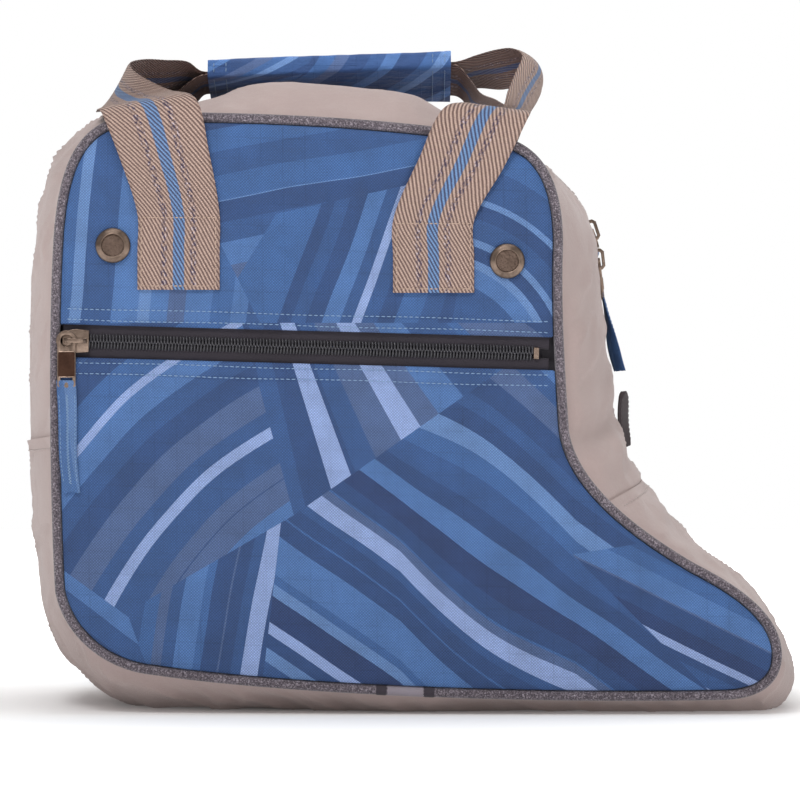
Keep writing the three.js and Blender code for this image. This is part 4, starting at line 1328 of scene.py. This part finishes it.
def tab(prefix, length, sway, seed, rise=0.0, twist=0.0):
    """A folded strip of the printed cloth, sewn down its middle, that hangs from the pull."""
    origin, x_axis, y_axis, out = pull_frame(prefix)
    start = PULLS[prefix]["length"] - PULL_HEAD - BAR_INSET - TAB_BACK
    steps = 40
    share = np.linspace(0, 1, steps)
    run = start + share * (length + 4.0)
    half = 4.95 - 0.75 * share
    side = sway * share**2 + 0.35 * np.sin(share * 7 + seed)
    lift = 2.5 + 0.4 * np.sin(share * 5.2 + seed) * share - 0.3 * np.exp(-((share - 0.05) / 0.05) ** 2)
    lift = lift + rise * share**1.6
    turns = np.radians(twist) * smooth(0.1, 0.8, share)
    sides = np.outer(np.cos(turns), y_axis) + np.outer(np.sin(turns), out)
    outs = np.outer(np.cos(turns), out) - np.outer(np.sin(turns), y_axis)
    across = np.linspace(-1, 1, 9)
    rows_top, rows_under, uv = [], [], []
    fray = np.random.default_rng(seed)
    for k in range(steps):
        thick = 0.75 - 0.22 * (share[k] < 0.02)
        edge = np.sqrt(np.clip(1 - np.abs(across) ** 6, 0.05, 1))
        ragged = (fray.random(9) - 0.5) * 0.9 * (k == steps - 1)
        groove = 0.22 * np.exp(-((across / 0.16) ** 2))
        base = origin + np.outer(run[k] + ragged, x_axis) + side[k] * y_axis + lift[k] * out
        base = base + np.outer(half[k] * across, sides[k])
        rows_top.append(base + np.outer(thick * edge - groove, outs[k]))
        rows_under.append((base - np.outer(thick * edge, outs[k]))[::-1])
        row = np.stack([half[k] * across, np.full(9, run[k])], axis=1)
        uv.append(np.concatenate([row, row[::-1]]))
    sections = np.concatenate([np.array(rows_top), np.array(rows_under)], axis=1)
    points, faces = loft(sections)
    cloth = add_mesh(f"{prefix}_tab_cloth", points, faces, TAB_PRINT, f"{prefix}_tab", "tab_cloth",
                     [f"{prefix}_pull_tab"], uv=np.concatenate(uv) * MM, sharp=60)
    heap = Heap()
    inner = slice(5, steps - 3)
    zigzag = np.array([1.0 if k % 2 else -1.0 for k in range(400)])
    middle = origin + np.outer(run, x_axis) + np.outer(side, y_axis) + np.outer(lift, out) + 0.62 * outs
    fine = np.linspace(5, steps - 4, 60)
    line, over, beside = (sampled(fine, np.arange(steps), rows) for rows in (middle, outs, sides))
    line = line + zigzag[:60, None] * 0.75 * beside
    step = np.linalg.norm(np.diff(line, axis=0), axis=1).mean()
    sew(heap, line, over, step, step * 0.92, 0.2, seed=seed)
    for edge in (-1, 1):
        line = middle[inner] + edge * (half[inner] - 0.9)[:, None] * sides[inner]
        sew(heap, line, outs[inner], 2.3, 1.7, 0.16, seed=seed + edge)
    sewn = heap.mesh(f"{prefix}_tab_stitches", BLUE_THREAD, body=f"{prefix}_tab", slot="tab_cloth")
    if prefix == "lower":  # the lower tab, bent and twisted where the instep starts, gets meshes of its own
        for piece in (cloth, sewn):
            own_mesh(piece)


tab("pocket", 52.0, 2.6, 31)
tab("lower", 38.0, -1.2, 32, rise=4.5, twist=-42.0)
tab("upper", 38.0, 1.5, 33)


def stud(side):
    x, z = STUDS[side]
    centre = (x, -PANEL_FACE, z)
    rim = [
        (1.9, -3.5), (2.0, 0.2), (8.3, 0.2), (8.72, 0.5), (8.8, 1.0), (8.7, 1.5), (8.4, 1.95),
        (7.5, 2.5), (6.6, 3.0), (6.15, 3.4), (5.9, 3.52), (5.68, 3.45), (5.52, 3.15), (5.45, 2.6),
        (5.3, 2.4),
    ]
    points, faces = lathe(rim, centre, (0, -1, 0), (1, 0, 0))
    add_mesh(f"stud_rim_{side}", points, faces, GUNMETAL, slot="antique_metal",
             stands_for=[f"stud_cap_{side}"])
    button = [(5.6, 1.6), (5.6, 2.3), (5.4, 2.5), (4.5, 2.56), (2.5, 2.62), (0.0, 2.66)]
    points, faces = lathe(button, centre, (0, -1, 0), (1, 0, 0))
    add_mesh(f"stud_centre_{side}", points, faces, PEBBLED, slot="antique_metal")


stud("left")
stud("right")


def keeper():
    """A folded leather tab beside the lower end of the zip, held by its foot and standing a little away."""
    steps = 26
    share = np.linspace(0, 1, steps)
    places = 5.255 - 0.385 * share
    lift = 1.9 + 3.6 * share**1.3
    half = 6.2 * np.sqrt(np.clip(1 - np.abs(2 * share - 0.98) ** 5, 0.03, 1))
    half = half * (0.8 + 0.2 * smooth(0, 0.5, share))
    thick = 1.15 + 0.35 * np.exp(-(((share - 0.96) / 0.06) ** 2))
    turn = math.radians(26)
    across = np.linspace(-1, 1, 11)
    sections, lines = [], {-1: [], 1: []}
    for k in range(steps):
        foot = skin(places[k], -20.5, 0.0)[0]
        out = unit(skin(places[k], -20.5, 1.0)[0] - foot)
        side = math.cos(turn) * np.array([0.0, 1.0, 0.0]) + math.sin(turn) * out
        over = math.cos(turn) * out - math.sin(turn) * np.array([0.0, 1.0, 0.0])
        middle = foot + lift[k] * out + 1.2 * out
        edge = np.sqrt(np.clip(1 - np.abs(across) ** 5, 0.06, 1))
        row = middle + np.outer(half[k] * across, side)
        sections.append(np.concatenate([row + np.outer(thick[k] * edge, over),
                                        (row - np.outer(thick[k] * edge, over))[::-1]]))
        for sign in (-1, 1):
            lines[sign].append(middle + sign * max(half[k] - 1.4, 0.1) * side + thick[k] * over)
    points, faces = loft(sections)
    add_mesh("keeper_tab", points, faces, LEATHER, slot="zip_tape", stands_for=["zip_keeper"], sharp=60)
    heap = Heap()
    for sign in (-1, 1):
        line = np.array(lines[sign][2:-2])
        sew(heap, line, unit(line - np.array([40.0, -20.5, 150.0])), 2.4, 1.8, 0.17, seed=44)
    heap.mesh("keeper_stitches", DARK_THREAD, slot="zip_tape")


keeper()


# ---- handles ---------------------------------------------------------------------------------
GRIP_Z, GRIP_LEAN = 325.0, 16.0
GRIP_LEFT, GRIP_RIGHT, GRIP_HALF = -100.0, 26.5, 23.0
GRIP_TWIST = 4.5  # degrees from the middle to either end
GRIP_SLOPE = 1.0  # how much the right end is lifted


def grip_point(x, a, b):
    """a runs across the grip to the front, b out through its back."""
    x, a, b = np.broadcast_arrays(*(np.asarray(v, float) for v in (x, a, b)))
    middle = (GRIP_LEFT + GRIP_RIGHT) / 2
    share = np.clip((x - middle) / (GRIP_RIGHT - middle), -1.1, 1.1)
    lean = np.radians(GRIP_LEAN + GRIP_TWIST * share)
    y = -a * np.cos(lean) + b * np.sin(lean)
    z = GRIP_Z + GRIP_SLOPE * share + a * np.sin(lean) + b * np.cos(lean)
    return np.stack([x, y, z], axis=-1)


def grip_bar(name, outline, left, right, material, body, slot, node, ripple, seed):
    """A closed outline in a and b run along the grip; ripple wrinkles its surface."""
    outline = np.array(outline, float)
    count = len(outline)
    xs = np.linspace(left, right, 64)
    ahead = unit(np.roll(outline, -1, axis=0) - np.roll(outline, 1, axis=0))
    normal = np.stack([ahead[:, 1], -ahead[:, 0]], axis=1)
    area = (outline[:, 0] * np.roll(outline[:, 1], -1) - np.roll(outline[:, 0], -1) * outline[:, 1]).sum()
    normal = normal if area > 0 else -normal
    around = run_along(outline)
    sections, uv = [], []
    for x in xs:
        ends = min(1.0, (x - left) / 3.0, (right - x) / 3.0)
        flat = np.stack([np.full(count, x), outline[:, 0], outline[:, 1]], axis=1)
        wave = ripple * fbm(flat, (16, 9, 9), seed, 2) if ripple else np.zeros(count)
        near_seams = math.exp(-(x - left - 4) ** 2) + math.exp(-(right - 4 - x) ** 2)
        stitched = -0.35 * ripple * near_seams
        moved = outline + normal * (wave * max(ends, 0) + stitched)[:, None]
        sections.append(grip_point(x, moved[:, 0], moved[:, 1]))
        uv.append(np.stack([np.full(count, x), around], axis=1))
    points, faces = loft(sections)
    return add_mesh(name, points, faces, material, body, slot, [node], uv=np.concatenate(uv) * MM, sharp=55)


def softened(outline, rounds=2):
    """Cuts the corners of a closed outline, so that folds are round."""
    outline = np.array(outline, float)
    for _ in range(rounds):
        ahead = np.roll(outline, -1, axis=0)
        cut = [0.8 * outline + 0.2 * ahead, 0.2 * outline + 0.8 * ahead]
        outline = np.stack(cut, axis=1).reshape(-1, 2)
    return outline


def densified(outline, spacing):
    points = []
    for p, q in zip(outline, np.roll(outline, -1, axis=0)):
        steps = max(1, int(np.linalg.norm(q - p) / spacing))
        points.extend(p + (q - p) * k / steps for k in range(steps))
    return np.array(points)


def grip():
    w, hollow, wall = GRIP_HALF, 2.2, 1.7
    cover = [
        (-w + 2, -hollow - wall), (w - 2, -hollow - wall), (w, -hollow), (w, 5.2), (w - 1.5, 6.4),
        (w - 4, 6.4), (w - 4, hollow), (w - 2, hollow), (w - 2, -hollow), (-w + 2, -hollow),
        (-w + 2, hollow), (-w + 11, hollow), (-w + 11, hollow + 0.9), (-w, hollow + 0.9),
        (-w, -hollow),
    ]
    outline = densified(softened(np.array(cover), 2), 2.5)
    if len(outline) % 2:
        outline = np.vstack([outline, (outline[-1] + outline[0]) / 2])
    body = ngon_bar("grip_wrap_cloth", outline, GRIP_LEFT, GRIP_RIGHT, GRIP_PRINT, "grip", "printed_cloth",
                    "grip_wrap", 0.45, 7)
    flap = [(-w - 1, 5.1), (w - 5.4, 5.1), (w - 5.4, 6.3), (-w - 1, 6.3)]
    outline = densified(softened(np.array(flap), 2), 2.5)
    ngon_bar("grip_flap_cloth", outline, GRIP_LEFT, GRIP_RIGHT, GRIP_PRINT, "grip_flap", "printed_cloth",
             "grip_flap", 0.25, 8)
    for name, low, high, owner in (("loop_strip", 3.3, 3.9, "grip"), ("hook_strip", 4.2, 4.8, "grip_flap")):
        strip = [(-w + 0.5, low), (-w + 10.5, low), (-w + 10.5, high), (-w + 0.5, high)]
        outline = densified(np.array(strip), 1.2)
        ngon_bar(f"{name}_pile", outline, GRIP_LEFT + 4, GRIP_RIGHT - 4, HOOKS, owner, "hook_and_loop",
                 name, 0.0, 1)
    wrap_stitches(w, hollow, wall)


def ngon_bar(name, outline, left, right, material, body, slot, node, ripple, seed):
    made = grip_bar(name, outline, left, right, material, body, slot, node, ripple, seed)
    built = bmesh.new()
    built.from_mesh(made.data)
    count = len(outline)
    ends = [f for f in built.faces if all(v.index < count for v in f.verts)
            or all(v.index >= len(built.verts) - count for v in f.verts)]
    bmesh.ops.delete(built, geom=ends, context="FACES")
    holes = [e for e in built.edges if e.is_boundary]
    bmesh.ops.triangle_fill(built, edges=holes, use_beauty=True)
    bmesh.ops.recalc_face_normals(built, faces=built.faces)
    built.to_mesh(made.data)
    built.free()
    return made


def wrap_stitches(w, hollow, wall):
    """Two rows of stitches across each end of the wrap, on its underside, front edge and flap."""
    under, over = Heap(), Heap()
    for x in (GRIP_LEFT + 3.2, GRIP_LEFT + 9.5, GRIP_RIGHT - 9.5, GRIP_RIGHT - 3.2):
        a = np.linspace(-w + 4, w - 2.4, 30)
        line = grip_point(x, a, -hollow - wall - 0.05)
        down = unit(grip_point(x, 0.0, -1.0) - grip_point(x, 0.0, 0.0))
        sew(under, line, down, 2.8, 2.1, 0.26, seed=51)
        b = np.linspace(-1.2, 4.6, 8)
        line = grip_point(x, w + 0.05, b)
        ahead = unit(grip_point(x, 1.0, 0.0) - grip_point(x, 0.0, 0.0))
        sew(under, line, ahead, 2.8, 2.1, 0.26, seed=52)
        a = np.linspace(-w + 1, w - 5.5, 30)
        line = grip_point(x, a, 6.35)
        sew(over, line, -down, 2.8, 2.1, 0.26, seed=53)
    under.mesh("wrap_topstitch", BLUE_THREAD, body="grip", slot="printed_cloth")
    over.mesh("flap_topstitch", BLUE_THREAD, body="grip_flap", slot="printed_cloth")


grip()

WEBBING = 1.4
WEB_FACE = PANEL_FACE + 0.3 + WEBBING / 2


def in_grip(level):
    """The stretch of a strap that lies in the wrap."""
    half = 19.2
    return [[grip_point(x, a, level).tolist() for a in (-half, half)] for x in (-103, -92, -35, 17, 29.5)]


def left_leg(side):
    f = WEB_FACE
    return [
        [[-131, side * f, 212.5], [-90, side * f, 212.5]],
        [[-131, side * f, 232], [-90, side * f, 232]],
        [[-131, side * f, 250], [-90, side * f, 250]],
        [[-139, side * (f + 1.5), 276], [-95, side * (f + 1.5), 280]],
        [[-149, side * (f + 1.5), 301], [-102, side * (f + 2), 308]],
    ]


def right_leg(side):
    f = WEB_FACE
    return [
        [[64.5, side * (f + 1.5), 299.5], [23, side * (f + 2), 304]],
        [[52, side * (f + 1.5), 274], [9, side * (f + 1.5), 277]],
        [[37, side * f, 247], [-3.5, side * f, 247]],
        [[37, side * f, 229], [-3.5, side * f, 229]],
        [[37, side * f, 211], [-3.5, side * f, 211]],
    ]


def through(points, places):
    """A centripetal curve through the points, at places from 0 to 1."""
    points = np.array(points, float)
    last = len(points) - 1
    found = []
    for place in places * last:
        k = min(int(place), last - 1)
        w = place - k
        p1, p2 = points[k], points[k + 1]
        p0 = points[k - 1] if k > 0 else 2 * points[0] - points[1]
        p3 = points[k + 2] if k + 2 <= last else 2 * points[last] - points[last - 1]
        d0, d1, d2 = (max(np.linalg.norm(b - a) ** 0.5, 1e-4) for a, b in ((p0, p1), (p1, p2), (p2, p3)))
        t1 = ((p1 - p0) / d0 - (p2 - p0) / (d0 + d1) + (p2 - p1) / d1) * d1
        t2 = ((p2 - p1) / d1 - (p3 - p1) / (d1 + d2) + (p3 - p2) / d2) * d1
        square, cube = -3 * p1 + 3 * p2 - 2 * t1 - t2, 2 * p1 - 2 * p2 + t1 + t2
        found.append(p1 + t1 * w + square * w**2 + cube * w**3)
    return np.array(found)


PATCH_END = 42.5  # from the end of a strap to the top of its sewn patch


def strap(name, node, pairs, side, curl_at=0.0, curl=0.0):
    """Webbing through pairs of edge points. It bows out by curl across its width near pair curl_at."""
    rows = 14 * (len(pairs) - 1) + 1
    share = np.linspace(0, 1, rows)
    first, second = through([p[0] for p in pairs], share), through([p[1] for p in pairs], share)
    middle = (first + second) / 2
    run_step = unit(np.gradient(middle, axis=0))
    up = unit(np.cross(second - first, run_step))
    run = run_along(middle)
    across = np.linspace(0, 1, 17)
    edge = np.sqrt(np.clip(1 - np.abs(2 * across - 1) ** 14, 0.06, 1))
    legs = np.minimum(run, run[-1] - run)
    outer = 1.0 if up[2][1] * side > 0 else -1.0
    crown = curl * np.exp(-(((share * (len(pairs) - 1) - curl_at) / 1.3) ** 2))
    bow = 1 - (2 * across - 1) ** 2
    tops, unders, uv = [], [], []
    for k in range(rows):
        row = first[k] + np.outer(across, second[k] - first[k])
        slack = 1.5 * math.exp(-(((legs[k] - PATCH_END) / 4.0) ** 2))
        slack = slack * (0.6 + 0.4 * math.sin(across[5] + run[k]))
        row = row + np.array([0.0, side * slack, 0.0]) + np.outer(outer * crown[k] * bow, up[k])
        tops.append(row + np.outer(WEBBING / 2 * edge, up[k]))
        unders.append((row - np.outer(WEBBING / 2 * edge, up[k]))[::-1])
        line = np.stack([across * 40.0, np.full(17, run[k])], axis=1)
        uv.append(np.concatenate([line, line[::-1]]))
    sections = np.concatenate([np.array(tops), np.array(unders)], axis=1)
    points, faces = loft(sections)
    sides = sections.shape[1]
    outward_is_top = up[2][1] * side > 0
    slots = []
    for face in faces:
        top = np.mean([i % sides for i in face]) < sides / 2 - 0.5
        slots.append(0 if top == outward_is_top else 1)
    made = add_mesh(name, points, faces, [WEB_TOP, WEB_UNDER], body=None, slot="webbing", stands_for=[node],
                    uv=np.concatenate(uv) * MM, sharp=60, face_slots=slots)
    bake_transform(made)
    heap = Heap()
    outward = np.array([0.0, side, 0.0])
    face_y = side * (WEB_FACE + WEBBING / 2)
    for left, right, low, high in ((-131, -90, 212.5, 250.5), (-3.5, 37, 211, 247.5)):
        x_low, x_high, z_low, z_high = left + 1.9, right - 1.9, low + 1.9, high - 2
        corners = [(x_low, z_high), (x_low, z_low), (x_high, z_low), (x_high, z_high), (x_low, z_high)]
        for (x0, z0), (x1, z1) in zip(corners, corners[1:]):
            line = np.stack([np.linspace(x0, x1, 24), np.full(24, face_y), np.linspace(z0, z1, 24)], axis=1)
            sew(heap, line, outward, 2.3, 1.7, 0.3, seed=61)
    heap.mesh(f"{name}_stitches", TAN_THREAD, slot="webbing")


def handles():
    front = [
        *left_leg(-1),
        [[-153, -95, 302.5], [-116, -106, 313]],
        [[-153, -68, 305], [-131, -97, 321]],
        [[-149.5, -46, 308.5], [-137, -79, 328]],
        [[-141, -24, 312.5], [-131, -56, 332]],
        [[-127, -3, 315.5], [-121, -38, 333]],
        [[-113, 12, 319.5], [-110, -25, 333]],
        *in_grip(0.95),
        [[41, 11, 322], [39.5, -24.5, 336.5]],
        [[54, -1, 320.5], [49, -34, 338.5]],
        [[66, -12.5, 322.5], [57.5, -45, 338.5]],
        [[72.5, -25, 322.5], [62.5, -58, 334]],
        [[73, -39, 317.5], [58.5, -73, 323.5]],
        [[70.5, -54.5, 311], [54.5, -87, 313.5]],
        [[66.5, -72, 304], [51, -98, 304.5]],
        [[65, -93, 300.5], [40, -108, 305]],
        *right_leg(-1),
    ]
    rear = [
        *left_leg(1),
        [[-147, 92, 305.5], [-103, 94, 309.5]],
        [[-140, 58, 311.5], [-107, 70, 313]],
        [[-132, 28, 313], [-110, 52, 314.5]],
        [[-123, 4, 314.5], [-110, 34, 315]],
        [[-112, -13, 322], [-107, 22, 316]],
        *[[b, a] for a, b in in_grip(-0.95)],
        [[36, -15, 325.5], [33, 20, 316.5]],
        [[42.5, 5.5, 319], [33.5, 39, 314]],
        [[51, 28, 317], [35, 62, 313]],
        [[61, 58, 312.5], [29, 76, 309.5]],
        [[66, 91, 306], [27, 93, 306]],
        *right_leg(1),
    ]
    strap("front_handle_webbing", "front_strap", front, -1, curl_at=19.2, curl=4.0)
    strap("rear_handle_webbing", "rear_strap", rear, 1)


handles()


# ---- finishes of the CAD nodes that stay -----------------------------------------------------
def paint(material, *nodes):
    for node in nodes:
        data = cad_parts[node].data
        data.materials.clear()
        data.materials.append(material)


paint(LINING, "pocket_back_wall")
paint(BOARD, "base_stiffener")
paint(GUNMETAL, "heel_zip_stop", "instep_zip_stop", "pocket_zip_stop", "stud_socket_left",
      "stud_socket_right")
